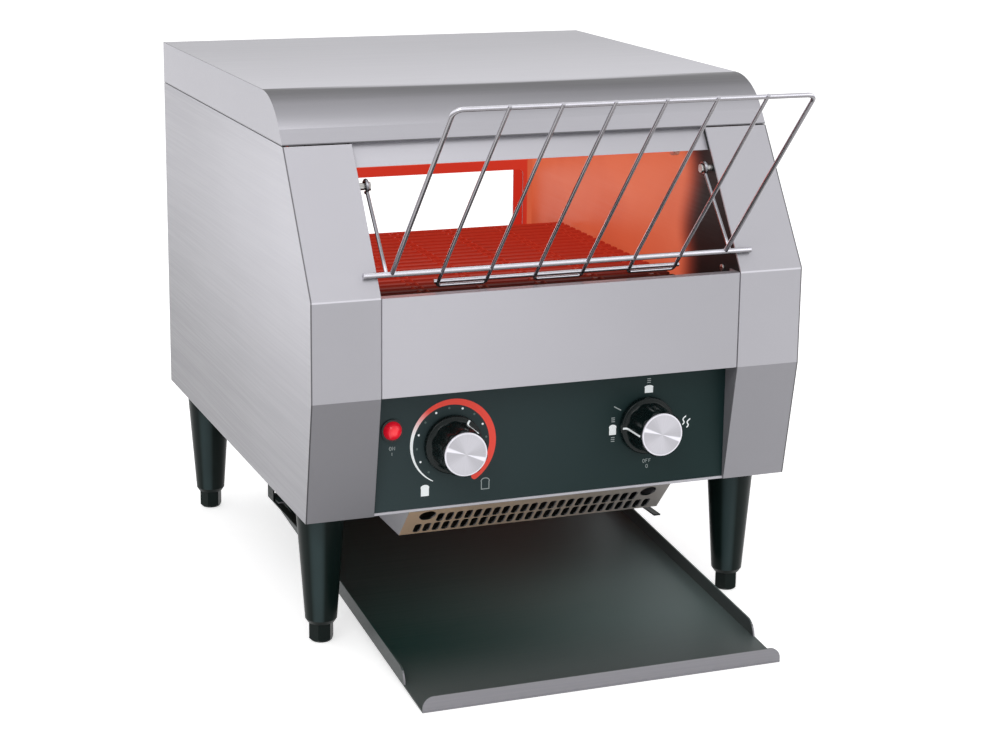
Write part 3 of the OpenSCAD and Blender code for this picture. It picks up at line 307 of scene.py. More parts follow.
def top_painted_light(shader, normal, place):
    """Top cover with painted light and shade: a painted dark reflection band where it bends over,
    paler down the skirt, painted shade lines at its edges and a painted shadow in the seam at its
    skirt's foot.
    """
    flat = shader.mix(backward(shader, place), *TOP_FLAT_TONES)
    bend = shader.ramp(normal[2], TOP_BEND_REFLECTION_STOPS)
    tone = shader.mix(shader.span(normal[2], 0.985, 0.998), bend, flat)
    sideways = shader.math("ABSOLUTE", normal[0])
    tone = shader.mix(shader.span(sideways, 0.8, 0.95), tone, TOP_SIDE_TONE)
    corner = shader.math("MULTIPLY", sideways, shader.math("MAXIMUM", normal[2], 0.0))
    # Painted shadow in the seam at the lower edge of the skirt.
    seam = shader.span(place[2], (SKIRT_LOW + SEAM_START) * MM, (SKIRT_LOW + SEAM_FULL) * MM)
    seam = shader.math("MULTIPLY", seam, shader.span(sideways, 0.5, 0.9, 1.0, SIDE_SEAM))
    line = shader.math("MAXIMUM", shader.span(corner, 0.2, 0.4), seam)
    return shader.times(tone, shader.mix(line, UNTOUCHED, EDGE_SHADE))


def painted_light_left_to_right(tones):
    """Sheet with painted light that changes along the opening."""
    return lambda shader, normal, place: shader.mix(rightward(shader, place), *tones)


def painted_light_by_rise(low, high, tones):
    """Sheet with painted light and shade that changes as its faces turn up, from low to high in the
    normal's z.
    """
    return lambda shader, normal, place: shader.mix(shader.span(normal[2], low, high), *tones)


def grille_painted_light(shader, normal, place):
    """Intake grille with painted light: warm at the left as painted chamber light and reflection,
    painted shade on its upward faces at the holes, and its end plates toned by their direction.
    """
    plate = shader.mix(rightward(shader, place), *GRILLE_TONES)
    plate = shader.mix(shader.span(normal[2], 0.3, 0.6), plate, GRILLE_HOLE_SHADE)
    sideways = shader.math("ABSOLUTE", normal[0])
    return shader.mix(shader.span(sideways, 0.5, 0.9), plate, GRILLE_END)


def tray_painted_light(shader, normal, place):
    """Toast tray: green-black sheet with painted shade at the left under the casing, and painted
    light making it greyer at its right, its front, its lip and walls.
    """
    floor = shader.mix(rightward(shader, place), *TRAY_FLOOR_TONES)
    floor = shader.mix(backward(shader, place, 10, -90), floor, TRAY_FRONT_TONE)
    walls = shader.mix(shader.span(normal[1], -0.5, -0.8), TRAY_WALL_TONE, TRAY_LIP_TONE)
    return shader.mix(shader.span(normal[2], 0.6, 0.9), walls, floor)


# Painted heater light on the chamber's sheet, which is no lamp: the heights between which it grows,
# and its colours from weak to strong.
HEATER_LIGHT_LOW, HEATER_LIGHT_HIGH = 100, 320
HEATER_LIGHT_STOPS = [(0.0, (0.12, 0.01, 0.004)), (0.35, (0.28, 0.03, 0.01)), (0.7, (0.5, 0.08, 0.032)),
              (1.0, (0.6, 0.125, 0.055))]
DEEP_RED_LIGHT = [(0.0, (0.3, 0.01, 0.005)), (0.5, (0.46, 0.018, 0.009)), (1.0, (0.52, 0.024, 0.012))]
# Where the painted light round the window's rim turns from red to orange, in millimetres beside the
# window.
RIM_NEAR, RIM_FAR = 2.4, 3.2
# How far below the window the painted light fades out, in millimetres.
GLOW_FADE = 60
# Low down, the painted shade at the chamber's front reaches deeper: from this height above the
# nose's top down to it, by up to this many millimetres.
FRONT_SHADE_RISE, FRONT_SHADE_REACH = 75, 55
# Painted shade at the chamber's front, the outward faces' plain tone, and painted shade below the
# nose.
FRONT_SHADE_TONE, OUTER_TONE, BELOW_NOSE_SHADE = (0.018, 0.022, 0.022), grey(0.35), grey(0.22)


X, Y, Z = range(3)


def facing(axis, sign):
    """Faces that look up an axis where sign is 1, and down it where sign is -1."""
    return lambda shader, normal, place: shader.math("MULTIPLY", normal[axis], sign)


def facing_window_middle(shader, normal, place):
    """Faces of the window duct that look towards its own middle line."""
    up = shader.math("SUBTRACT", place[2], WINDOW.z * MM)
    flat = shader.math("MULTIPLY", normal[2], shader.math("SIGN", up))
    upright = shader.math("MULTIPLY", normal[0], shader.math("SIGN", place[0]))
    return shader.math("MULTIPLY", shader.math("ADD", flat, upright), -1.0)


# Colours of the painted heater light, by its level and place.
def orange_painted_light(shader, heat, place):
    return shader.ramp(heat, HEATER_LIGHT_STOPS)


def red_painted_light(shader, heat, place):
    return shader.ramp(heat, DEEP_RED_LIGHT)


def rear_painted_light(shader, heat, place):
    """Painted light: red round the window's rim, and orange beside it."""
    beside = shader.span(shader.math("ABSOLUTE", place[0]), (WINDOW_HALF + RIM_NEAR) * MM,
                         (WINDOW_HALF + RIM_FAR) * MM)
    return shader.mix(beside, red_painted_light(shader, heat, place), orange_painted_light(shader, 0.8, place))


def painted_heater_light(name, inward, glow, shade_until=6, lit_from=50, rear_lit_tone=(0.15, 0.1, 0.09),
              specular=0.12):
    """Chamber sheet with painted heater light: an emission and a warmer tone that stand for the
    heaters' light falling on it.

    The painted light lies on its inward faces above the belt, more towards the top. It starts at
    the first given depth behind the sloping front of the opening, with painted shade in front of
    it, and is full at the second. Low down both lie deeper.
    """
    shader = Shader(name)
    place, normal = shader.axes(), shader.normal()
    up = shader.span(place[2], HEATER_LIGHT_LOW * MM, HEATER_LIGHT_HIGH * MM)
    slope = shader.math("MULTIPLY", shader.math("SUBTRACT", place[2], NOSE_TOP * MM), OPEN_LEAN)
    deeper = shader.span(place[2], (NOSE_TOP + FRONT_SHADE_RISE) * MM, NOSE_TOP * MM, 0.0, FRONT_SHADE_REACH * MM)
    start = shader.math("ADD", shader.math("MAXIMUM", slope, 0.0), deeper)
    inset = shader.math("SUBTRACT", place[1], start)
    back = shader.span(inset, at(0, shade_until, 0).y, at(0, lit_from, 0).y)
    patch = shader.span(shader.noise((18, 18, 18), 2.0), 0.2, 0.8, 0.9, 1.08)
    # Level of the painted heater light.
    heat = shader.math("MULTIPLY", shader.math("MULTIPLY", up, back), patch)
    inside = shader.span(inward(shader, normal, place), 0.3, 0.6)
    # Painted shade at the chamber's front, and a warmer painted tone behind it, on inward faces.
    tone = shader.mix(inside, OUTER_TONE, shader.mix(back, FRONT_SHADE_TONE, rear_lit_tone))
    # Painted shade below the nose.
    below_nose = shader.span(place[2], (NOSE_LOW + 1) * MM, (NOSE_LOW - 1) * MM)
    tone = shader.mix(below_nose, tone, BELOW_NOSE_SHADE)
    colour, roughness, bump = brushed(shader, GRAIN_Y, tone)
    # Emission that paints the heaters' light on the sheet.
    at_belt = shader.span(place[2], (WINDOW_LOW - GLOW_FADE) * MM, WINDOW_LOW * MM)
    strength = shader.math("MULTIPLY", shader.math("MULTIPLY", back, inside), at_belt)
    return shader.finish(colour, roughness, 0.0, bump, glow(shader, heat, place), strength,
                         Specular_IOR_Level=specular)


def heater_sheath(name, low, high, strength):
    """Heater tube at red heat, with mottled oxide."""
    shader = Shader(name)
    mottle = shader.noise((60, 300, 300), 4.0)
    glow = shader.ramp(mottle, [(0.3, low), (0.7, high)])
    colour = shader.ramp(mottle, [(0.3, (0.12, 0.03, 0.02)), (0.7, (0.3, 0.08, 0.04))])
    return shader.finish(colour, 0.6, 0.0, shader.bump(mottle, 0.2), glow, strength)


def belt_wire():
    """Belt wire with fine marks and painted heater light: red and glowing at the rear, brown-grey
    at the front.
    """
    shader = Shader("belt_wire")
    place = shader.axes()
    marks = shader.noise((300, 300, 300), 4.0)
    back = backward(shader, place, 88, 160)
    # Painted heater light: the red tone and glow towards the rear.
    tone = shader.mix(back, (0.022, 0.022, 0.021), (0.26, 0.06, 0.045))
    fine = shader.fade(marks, 0.8)
    glow = shader.mix(back, (0.003, 0.003, 0.003), (0.24, 0.014, 0.007))
    rough = shader.span(marks, 0.3, 0.7, 0.3, 0.4)
    return shader.finish(shader.times(tone, fine), rough, 0.7, shader.bump(marks, 0.05, 0.0002),
                         glow, 1.0)


def plain_metal(name, tone, roughness, metallic=0.9, grain=(300, 300, 300), wear=0.12):
    """Turned or drawn metal with fine marks."""
    shader = Shader(name)
    marks = shader.noise(grain, 4.0)
    colour = shader.ramp(marks, [(0.3, tint(tone, 1 - wear)), (0.7, tone)])
    rough = shader.span(marks, 0.3, 0.7, roughness * 0.85, roughness * 1.15)
    return shader.finish(colour, rough, metallic, shader.bump(marks, 0.05, 0.0002))


# Painted highlights and shade on the wire, from its underside up.
WIRE_HIGHLIGHT_STOPS = [(0.0, (0.06, 0.06, 0.06)), (0.14, (0.4, 0.39, 0.38)), (0.28, (0.14, 0.135, 0.13)),
              (0.5, (0.42, 0.42, 0.42)), (0.68, (0.95, 0.95, 0.96)), (0.86, (0.9, 0.9, 0.91)),
              (0.97, (0.5, 0.5, 0.5))]


def chrome_wire():
    """Bright plated wire with painted highlights and shade in bands from its underside up, and
    painted shade where it is in the chamber.
    """
    shader = Shader("chrome_wire")
    place = shader.axes()
    height = shader.span(shader.normal()[2], -1.0, 1.0)
    marks = shader.noise((250, 250, 250), 3.0)
    body = shader.ramp(height, WIRE_HIGHLIGHT_STOPS)
    fine = shader.fade(marks, 0.93)
    # Painted shade inside the chamber.
    inside = shader.math("MULTIPLY", backward(shader, place, 8, 14),
                         shader.span(place[2], (NOSE_TOP + 10) * MM, (NOSE_TOP + 20) * MM))
    body = shader.times(shader.times(body, fine), shader.mix(inside, grey(1.0), grey(0.42)))
    return shader.finish(body, 0.2, 0.9, shader.bump(marks, 0.03, 0.0002))


def moulded(name, tone, roughness, grain=900, depth=0.12, **constants):
    """Moulded plastic with a fine grain."""
    shader = Shader(name)
    grit = shader.noise((grain,) * 3, 3.0)
    cloud = shader.noise((30,) * 3, 2.0)
    colour = shader.ramp(cloud, [(0.3, tint(tone, 0.88)), (0.7, tone)])
    rough = shader.span(grit, 0.3, 0.7, roughness * 0.88, roughness * 1.12)
    return shader.finish(colour, rough, 0.0, shader.bump(grit, depth, 0.0001), **constants)


def panel_black():
    """Satin overlay of the control panel: green-black, with painted light making it a little paler
    at the left.
    """
    shader = Shader("panel_black")
    grit = shader.noise((1400,) * 3, 2.0)
    cloud = shader.noise((6,) * 3, 2.0)
    # Painted light: paler at the left.
    tone = shader.mix(rightward(shader, shader.axes()), *PANEL_TONES)
    colour = shader.times(tone, shader.fade(cloud, 0.9))
    rough = shader.span(grit, 0.3, 0.7, 0.45, 0.55)
    return shader.finish(colour, rough, 0.0, shader.bump(grit, 0.08, 0.0001),
                         Specular_IOR_Level=0.18)


# Painted highlight on the legs: the way it faces, turned from the front, and its tone.
LEG_HIGHLIGHT_TURN = math.radians(-26)
LEG_TONE, LEG_HIGHLIGHT_TONE = (0.003, 0.009, 0.008), (0.036, 0.058, 0.06)


def leg_black():
    """Black-green enamel, with a soft upright painted highlight at the front left and at the rear
    right.
    """
    shader = Shader("leg_black")
    normal = shader.normal()
    ripple = shader.noise((90, 90, 30), 2.0)
    facing = shader.math("ADD", shader.math("MULTIPLY", normal[0], math.sin(LEG_HIGHLIGHT_TURN)),
                         shader.math("MULTIPLY", normal[1], -math.cos(LEG_HIGHLIGHT_TURN)))
    band = shader.span(shader.math("ABSOLUTE", facing), 0.9, 1.0)
    colour = shader.mix(band, LEG_TONE, LEG_HIGHLIGHT_TONE)
    fine = shader.fade(ripple, 0.85)
    rough = shader.span(ripple, 0.3, 0.7, 0.3, 0.36)
    return shader.finish(shader.times(colour, fine), rough, 0.0, shader.bump(ripple, 0.01, 0.0003),
                         Specular_IOR_Level=0.12)


def radial(shader, centre):
    """Angle round a knob's axis as 0..1, and distance from it in metres."""
    offset = shader.add("VectorMath", {0: shader.place, 1: at(*centre)}, operation="SUBTRACT")
    place = shader.axes(offset.outputs[0])
    angle = shader.math("ARCTAN2", place[0], place[2])
    turn = shader.math("ADD", shader.math("MULTIPLY", angle, 1 / TAU), 0.5)
    across = shader.math("MULTIPLY", place[0], place[0])
    upward = shader.math("MULTIPLY", place[2], place[2])
    distance = shader.math("SQRT", shader.math("ADD", across, upward))
    return turn, distance


# Painted highlight on the knob caps: the turn of its bright band, and the radii in metres where its
# bright rim starts and is full.
CAP_HIGHLIGHT_TURN = 0.5 + 109 / 360
CAP_RIM_HIGHLIGHT_START, CAP_RIM_HIGHLIGHT_FULL = 0.0143, 0.0148
LENS_R = 0.0069


def cap_aluminium(name, centre):
    """Aluminium cap brushed from its middle outwards, with a painted highlight: a bright band
    across it, and a bright rim.
    """
    shader = Shader(name)
    turn, distance = radial(shader, centre)
    spokes = shader.add("TexNoise", {"W": turn, "Scale": 130.0, "Detail": 4.0},
                        noise_dimensions="1D").outputs[0]
    phase = shader.math("MULTIPLY", shader.math("SUBTRACT", turn, CAP_HIGHLIGHT_TURN), 2 * TAU)
    wave = shader.math("COSINE", phase)
    # Painted highlight: a broad fan and a narrow bright line.
    base = shader.mix(shader.span(wave, -0.8, 0.9), grey(0.6), grey(0.5))
    base = shader.mix(shader.span(wave, 0.955, 0.998), base, grey(0.92))
    fine = shader.fade(spokes, 0.88)
    # Painted bright rim.
    rim = shader.span(distance, CAP_RIM_HIGHLIGHT_START, CAP_RIM_HIGHLIGHT_FULL)
    colour = shader.mix(rim, shader.times(base, fine), grey(0.8))
    rough = shader.span(spokes, 0.3, 0.7, 0.3, 0.4)
    return shader.finish(colour, rough, 0.6, shader.bump(spokes, 0.04, 0.0002))


def lens_red():
    """Red lamp lens with a moulded ripple, lit from within."""
    shader = Shader("lens_red")
    _, distance = radial(shader, (LAMP.x, 0, LAMP.z))
    ripple = shader.noise((500,) * 3, 2.0)
    glow = shader.ramp(shader.span(distance, 0.0, LENS_R),
                       [(0.0, (0.9, 0.05, 0.06)), (0.5, (0.66, 0.006, 0.022)),
                        (1.0, (0.34, 0.0, 0.01))])
    bump = shader.bump(ripple, 0.08, 0.0002)
    return shader.finish((0.5, 0.008, 0.016), 0.25, 0.0, bump, glow, 0.7)


# Strength of a painted glow that lifts the inks.
INK_PAINTED_GLOW = 0.3


def inked(shader, grit, colour):
    """Ends an ink's tree, with a painted glow of its own colour that lifts it a little."""
    return shader.finish(colour, 0.5, 0.0, shader.bump(grit, 0.05, 0.0001), colour, INK_PAINTED_GLOW,
                         Specular_IOR_Level=0.2)


def print_ink(name, tone):
    """Screen-printed ink with a slightly uneven tone."""
    shader = Shader(name)
    grit = shader.noise((1500,) * 3, 2.0)
    return inked(shader, grit, shader.ramp(grit, [(0.2, tint(tone, 0.9)), (0.8, tone)]))


WHITE_INK = (0.8, 0.84, 0.85)
RED_INK = (0.74, 0.07, 0.05)
WHITE_UNTIL, RED_FROM = 0.5 - 80 / 360, 0.5 - 30 / 360


def dial_ink():
    """Ink of the dial ring, which turns from white to red near the upper left."""
    shader = Shader("dial_ink")
    turn, _ = radial(shader, (SPEED.x, 0, SPEED.z))
    red = shader.span(turn, WHITE_UNTIL, RED_FROM)
    grit = shader.noise((1500,) * 3, 2.0)
    fine = shader.fade(grit, 0.92, 0.2, 0.8)
    return inked(shader, grit, shader.times(shader.mix(red, WHITE_INK, RED_INK), fine))


def fibre():
    """Mineral wool of the insulation."""
    shader = Shader("fibre")
    strands = shader.noise((60, 400, 400), 6.0)
    colour = shader.ramp(strands, [(0.3, (0.5, 0.47, 0.4)), (0.7, (0.78, 0.76, 0.7))])
    return shader.finish(colour, 0.95, 0.0, shader.bump(strands, 0.6, 0.001))


FLOOR_LIFT = 0.6


def floor_white():
    """Pale floor, lifted to white for the eye but keeping the shadow on it."""
    shader = Shader("floor")
    grain = shader.noise((40, 40, 40), 2.0)
    colour = shader.ramp(grain, [(0.3, (0.8, 0.8, 0.8)), (0.7, (0.815, 0.815, 0.815))])
    diffuse = shader.add("BsdfDiffuse", {"Color": colour})
    rays = shader.add("LightPath").outputs
    seen = shader.math("MAXIMUM", rays["Is Camera Ray"],
                       shader.math("MAXIMUM", rays["Is Glossy Ray"], rays["Is Transmission Ray"]))
    lift = shader.add("Emission", {"Color": (1.0, 1.0, 1.0),
                                   "Strength": shader.math("MULTIPLY", seen, FLOOR_LIFT)})
    both = shader.add("AddShader", {0: diffuse.outputs[0], 1: lift.outputs[0]})
    shader.add("OutputMaterial", {"Surface": both.outputs[0]})
    return shader.material


# The chute's near black is painted shade under the casing; the tray rails that share it are black
# as well.
CHUTE = painted_light_by_rise(0.2, 0.9, CHUTE_SHADE_TONES)
SLOT_MATERIALS = {
    "stainless": satin_sheet("stainless", GRAIN_X, painted_light_by_rise(-0.2, 0.6, PLAIN_TONES)),
    "inner_steel": satin_sheet("inner_steel", GRAIN_Y, painted_light_by_rise(0.2, 0.9, INNER_TONES), 0.6),
    # Painted heater light on the chamber's rear sheet, which is no lamp.
    "glowing_steel": painted_heater_light("glowing_steel", facing(Y, -1), rear_painted_light),
    "ceramic": moulded("ceramic", (0.78, 0.75, 0.68), 0.6, 500, 0.2),
    "fibre": fibre(),
    "belt_wire": belt_wire(),
    "machine_steel": plain_metal("machine_steel", (0.5, 0.5, 0.5), 0.3),
    "bronze": plain_metal("bronze", (0.5, 0.33, 0.16), 0.4),
    "cast_housing": plain_metal("cast_housing", (0.2, 0.2, 0.21), 0.55, 0.4, (200,) * 3, 0.25),
    "black_plastic": moulded("black_plastic", (0.003, 0.008, 0.008), 0.26, Coat_Weight=0.06,
                             Coat_Roughness=0.08, Specular_IOR_Level=0.22),
    "matt_plastic": moulded("matt_plastic", (0.018, 0.021, 0.022), 0.6),
    "panel_black": panel_black(),
    "lens_red": lens_red(),
    "board_green": moulded("board_green", (0.03, 0.17, 0.07), 0.4),
    "terminal_white": moulded("terminal_white", (0.72, 0.7, 0.62), 0.5),
    "tray_steel": satin_sheet("tray_steel", GRAIN_X, tray_painted_light, 0.15, 0.1, 0.16),
    "tray_rail_black": satin_sheet("tray_rail_black", GRAIN_Y, CHUTE, 0.0, 0.1, 0.15),
    "chrome_wire": chrome_wire(),
    "leg_black": leg_black(),
}
SIDE_STEEL = satin_sheet("side_steel", GRAIN_Y, side_painted_light, depth=0.01)
NODE_MATERIALS = {
    "left_side_panel": SIDE_STEEL,
    "right_side_panel": SIDE_STEEL,
    "top_cover": satin_sheet("top_steel", GRAIN_X, top_painted_light, specular=0.3),
    "front_cover": satin_sheet("front_steel", GRAIN_X, painted_light_left_to_right(FRONT_TONES)),
    "header_strip": satin_sheet("header_steel", GRAIN_X, painted_light_left_to_right(HEADER_TONES)),
    "intake_grille": satin_sheet("grille_steel", GRAIN_X, grille_painted_light, 0.25),
    # Painted heater light on the chamber's plates, reflectors and window duct.
    "left_inner_plate": painted_heater_light("painted_light_left_plate", facing(X, 1), orange_painted_light),
    "right_inner_plate": painted_heater_light("painted_light_right_plate", facing(X, -1), orange_painted_light),
    "upper_reflector": painted_heater_light("painted_light_reflector", facing(Z, -1), orange_painted_light, 20, 80),
    "lower_reflector": painted_heater_light("painted_light_lower_reflector", facing(Z, 1), red_painted_light, 60, 120),
    "window_duct": painted_heater_light("painted_light_duct", facing_window_middle, red_painted_light,
                             rear_lit_tone=(0.07, 0.006, 0.004), specular=0.0),
    "upper_heaters": heater_sheath("upper_heat", (0.55, 0.03, 0.01), (0.85, 0.1, 0.03), 1.0),
    "lower_heaters": heater_sheath("lower_heat", (0.4, 0.02, 0.01), (0.6, 0.05, 0.02), 0.5),
    "toast_chute": satin_sheet("chute_steel", GRAIN_X, CHUTE, 0.0, 0.1, 0.15),
    "rack_pins": plain_metal("pin_steel", (0.5, 0.49, 0.48), 0.3),
}
SPEED_CAP = cap_aluminium("speed_cap", (SPEED.x, 0, SPEED.z))
SELECTOR_CAP = cap_aluminium("selector_cap", (SELECTOR.x, 0, SELECTOR.z))
WHITE = print_ink("white_ink", WHITE_INK)
GREY = print_ink("grey_ink", (0.3, 0.34, 0.34))
FAINT = print_ink("faint_ink", (0.09, 0.125, 0.12))
# Not print: painted shade that stands for the screws' cross recesses.
RECESS_SHADE = print_ink("recess_shade", (0.01, 0.012, 0.012))
DIAL = dial_ink()


# ================================ mesh pieces ================================

class Shape:
    """Vertices and faces in millimetres from the nose, gathered into one piece."""

    def __init__(self):
        self.points, self.faces = [], []

    def ring_skin(self, rings):
        """Joins equal rings of points one after another, and closes both ends."""
        start, n = len(self.points), len(rings[0])
        for ring in rings:
            self.points.extend(ring)
        for k in range(len(rings) - 1):
            for i in range(n):
                a, b = start + k * n + i, start + k * n + (i + 1) % n
                self.faces.append((a, b, b + n, a + n))
        last = start + (len(rings) - 1) * n
        self.faces.append(tuple(range(start + n - 1, start - 1, -1)))
        self.faces.append(tuple(range(last, last + n)))

    def tube(self, path, radius, sides=8):
        """A round wire along a path of points."""
        path = [Vector(p) for p in path]
        rings, across = [], None
        for i, point in enumerate(path):
            before, after = path[max(i - 1, 0)], path[min(i + 1, len(path) - 1)]
            along = (after - before).normalized()
            if across is None:
                across = along.orthogonal().normalized()
            across = (across - along * across.dot(along)).normalized()
            other = along.cross(across)
            rings.append([point + radius * (math.cos(t) * across + math.sin(t) * other)
                          for t in (TAU * k / sides for k in range(sides))])
        self.ring_skin(rings)

    def turned(self, centre, profile, sides=96, radius_at=None):
        """A body turned about a Y axis. profile has (y, radius) from rear to front."""
        rings = []
        for y, r in profile:
            ring = []
            for k in range(sides):
                t = TAU * k / sides
                reach = radius_at(t, y, r) if radius_at else r
                ring.append(Vector((centre.x + reach * math.sin(t), y,
                                    centre.z + reach * math.cos(t))))
            rings.append(ring)
        self.ring_skin(rings)

    def flat(self, outline, y, thick):
        """A thin plate with the outline of (x, z) points, its rear at y."""
        front = [Vector((x, y - thick, z)) for x, z in outline]
        rear = [Vector((x, y, z)) for x, z in outline]
        self.ring_skin([rear, front])

    def piece(self, name, material, slot, body="casing", smooth=40, replaces=()):
        mesh = bpy.data.meshes.new(name)
        mesh.from_pydata([at(*p) for p in self.points], [], self.faces)
        mesh.materials.append(material)
        mesh.validate()
        turn_faces_out(mesh)
        for polygon in mesh.polygons:
            polygon.use_smooth = smooth > 0
        if smooth:
            mesh.set_sharp_from_angle(angle=math.radians(smooth))
        piece = bpy.data.objects.new(name, mesh)
        bpy.context.scene.collection.objects.link(piece)
        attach(piece, body)
        if replaces:
            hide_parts(*replaces)


def turn_faces_out(mesh):
    work = bmesh.new()
    work.from_mesh(mesh)
    bmesh.ops.recalc_face_normals(work, faces=work.faces)
    work.to_mesh(mesh)
    work.free()


# ---- wire belt ----
BAR_R = 1.5
LINK_R = 0.9
BAR_PITCH = 12.0
BAR_END_CURL = 3.2
BELT_MARGIN = 1.0
LINKS = 6
LINK_HALF = 3.4
LINK_MARGIN = 12
# Points of a hook: its share of LINK_HALF sideways, its share of the step and its millimetres
# along the belt, and how deep it lies.
HOOK = ((-1, 0, 0.6, -0.1), (-1, -0.5, 0, 0.1), (-0.8, -1, -1.2, 0.0), (0, -1, -2.4, -0.4),
        (0.8, -1, -1.2, 0.0), (1, -0.5, 0, 0.1), (1, 0, 0.6, -0.1))


def belt_loop():
    """Point and outward direction at distance s along the belt's middle line, and its length."""
    low, high = mm_box("conveyor_belt")
    front, rear = mm_middle("drive_drums"), mm_middle("idler_drums")
    r = (high.z - low.z) / 2 - BAR_R
    straight, half = rear.y - front.y, math.pi * r

    def place(s):
        s %= 2 * (straight + half)
        if s < straight:
            return Vector((0, front.y + s, front.z + r)), Vector((0, 0, 1))
        if s < straight + half:
            t = (s - straight) / r
            out = Vector((0, math.sin(t), math.cos(t)))
            return Vector((0, rear.y, rear.z)) + r * out, out
        if s < 2 * straight + half:
            return Vector((0, rear.y - (s - straight - half), rear.z - r)), Vector((0, 0, -1))
        t = (s - 2 * straight - half) / r
        out = Vector((0, -math.sin(t), -math.cos(t)))
        return Vector((0, front.y, front.z)) + r * out, out

    return place, 2 * (straight + half)


def conveyor_belt():
    """Cross bars, each with hooks bent round the bar behind it."""
    place, length = belt_loop()
    bars = round(length / BAR_PITCH)
    step = length / bars
    side = mm_box("conveyor_belt")[1].x - BELT_MARGIN
    end = Vector((side, 0, 0))
    belt = Shape()
    for i in range(bars):
        middle, back = place(i * step)[0], place(i * step - BAR_END_CURL)[0]
        belt.tube([back - end, middle - end, middle + end, back + end], BAR_R)
        for k in range(LINKS):
            x = (k / (LINKS - 1) - 0.5) * 2 * (side - LINK_MARGIN)
            hook = []
            for sideways, steps, further, sink in HOOK:
                point, out = place(i * step + (step * steps + further))
                hook.append(point + Vector((x + LINK_HALF * sideways, 0, 0)) - out * sink)
            belt.tube(hook, LINK_R, 6)
    belt.piece("wire_belt", SLOT_MATERIALS["belt_wire"], "belt_wire", replaces=("conveyor_belt",))


# ---- knobs ----
FLUTES = 10
FLUTE_DEEP = 1.5
GRIP_R = 17.0
SKIRT_THICK = 4.5
KNOB_SIDES = 240
SPEED_POINTER, SELECTOR_POINTER = 33, -90
POINTER_HALF = 0.7
POINTER_LIFT, POINTER_SINK, POINTER_BACK = 0.15, 0.5, 0.3
# Corners of the pointer's section: side, and millimetres outwards and back.
POINTER_CORNERS = ((-1, POINTER_LIFT, -POINTER_LIFT), (1, POINTER_LIFT, -POINTER_LIFT),
                   (1, -POINTER_SINK, POINTER_BACK), (-1, -POINTER_SINK, POINTER_BACK))


def rounded_corner(y0, r0, y1, r1, n=4):
    """Points of a quarter round from (y0, r0) in to the smaller radius r1 at y1."""
    return [(y0 + (y1 - y0) * math.sin(t), r0 + (r1 - r0) * (1 - math.cos(t)))
            for t in (math.pi / 2 * k / n for k in range(1, n + 1))]


def knob(centre, name, body, cad, cap_material, pointer_turn):
    """Skirted knob with broad flutes, its cap and its white pointer line."""
    (low, high), (cap_low, cap_high) = mm_box(cad), mm_box(cad + "_cap")
    skirt_r, cap_r = (high.x - low.x) / 2, (cap_high.x - cap_low.x) / 2
    rear, front = high.y, low.y
    skirt_front = rear - SKIRT_THICK
    profile = [(rear, skirt_r - 0.5), (rear - 0.6, skirt_r), (skirt_front + 1.0, skirt_r - 0.1)]
    profile += rounded_corner(skirt_front + 1.0, skirt_r - 0.1, skirt_front, skirt_r - 1.1)
    profile += [(skirt_front - 0.05, GRIP_R + 1.3), (skirt_front - 0.5, GRIP_R + 0.5),
                (skirt_front - 1.4, GRIP_R + 0.1), (skirt_front - 3, GRIP_R)]
    profile += [(rear - (rear - front) * share, GRIP_R) for share in (0.45, 0.6, 0.75, 0.88)]
    profile += rounded_corner(front + 1.2, GRIP_R, front, GRIP_R - 1.1)

    def radius_at(t, y, r):
        """Flutes fade in from the skirt. The pointer lies on the crest between two of them."""
        fade = min(max((skirt_front - y) / 4, 0), 1)
        wave = 0.5 - 0.5 * math.cos(FLUTES * (t - math.radians(pointer_turn)))
        return r - FLUTE_DEEP * fade * wave ** 1.3

    grip = Shape()
    grip.turned(centre, profile, KNOB_SIDES, radius_at)
    grip.piece(name, SLOT_MATERIALS["black_plastic"], "black_plastic", body, replaces=(cad,))

    cap = Shape()
    dish = [(front, cap_r - 0.4), (front - 0.3, cap_r)]
    dish += rounded_corner(front - 1.0, cap_r, front - 1.55, cap_r - 0.7)
    dish += [(front - 1.35, cap_r - 1.4), (front - 1.3, cap_r * 0.5), (front - 1.3, 0.3)]
    cap.turned(centre, dish)
    cap.piece(name + "_cap", cap_material, "cap_aluminium", body, replaces=(cad + "_cap",))

    t = math.radians(pointer_turn)
    out, across = Vector((math.sin(t), 0, math.cos(t))), Vector((math.cos(t), 0, -math.sin(t)))
    middle = Vector((centre.x, 0, centre.z))
    line = [(skirt_r - 0.8, skirt_front - 0.05), (GRIP_R + 1.2, skirt_front - 0.1),
            (GRIP_R + 0.5, skirt_front - 0.6), (GRIP_R, skirt_front - 3), (GRIP_R, front + 1.2),
            (GRIP_R - 0.4, front + 0.4)]
    rings = []
    for r, y in line:
        rings.append([middle + out * (r + outward) + across * side * POINTER_HALF
                      + Vector((0, y + back, 0)) for side, outward, back in POINTER_CORNERS])
    pointer = Shape()
    pointer.ring_skin(rings)
    pointer.piece(name + "_pointer", WHITE, "black_plastic", body, smooth=0)


# ---- print on the control panel ----
INK = 0.08
RING_START, RING_END, RING_STEPS = -152, 146, 96
RING_R, RING_GROWTH, RING_THIN, RING_BROAD = 29.6, 1.0, 0.6, 4.4
RING_BROAD_FROM = 0.65
DOTS, DOT_START, DOT_STEP, DOT_CIRCLE, DOT_R = 13, -138.5, 22.3, 25.8, 0.8
WORD_PEN, BAR_PEN, OUTLINE_PEN, TICK_PEN, WAVE_PEN = 0.36, 0.55, 0.6, 0.7, 0.9
LETTER_PITCH, LETTER_GAP = 0.98, 0.36


def print_piece(shape, name, material):
    shape.piece(name, material, "panel_black", smooth=0)


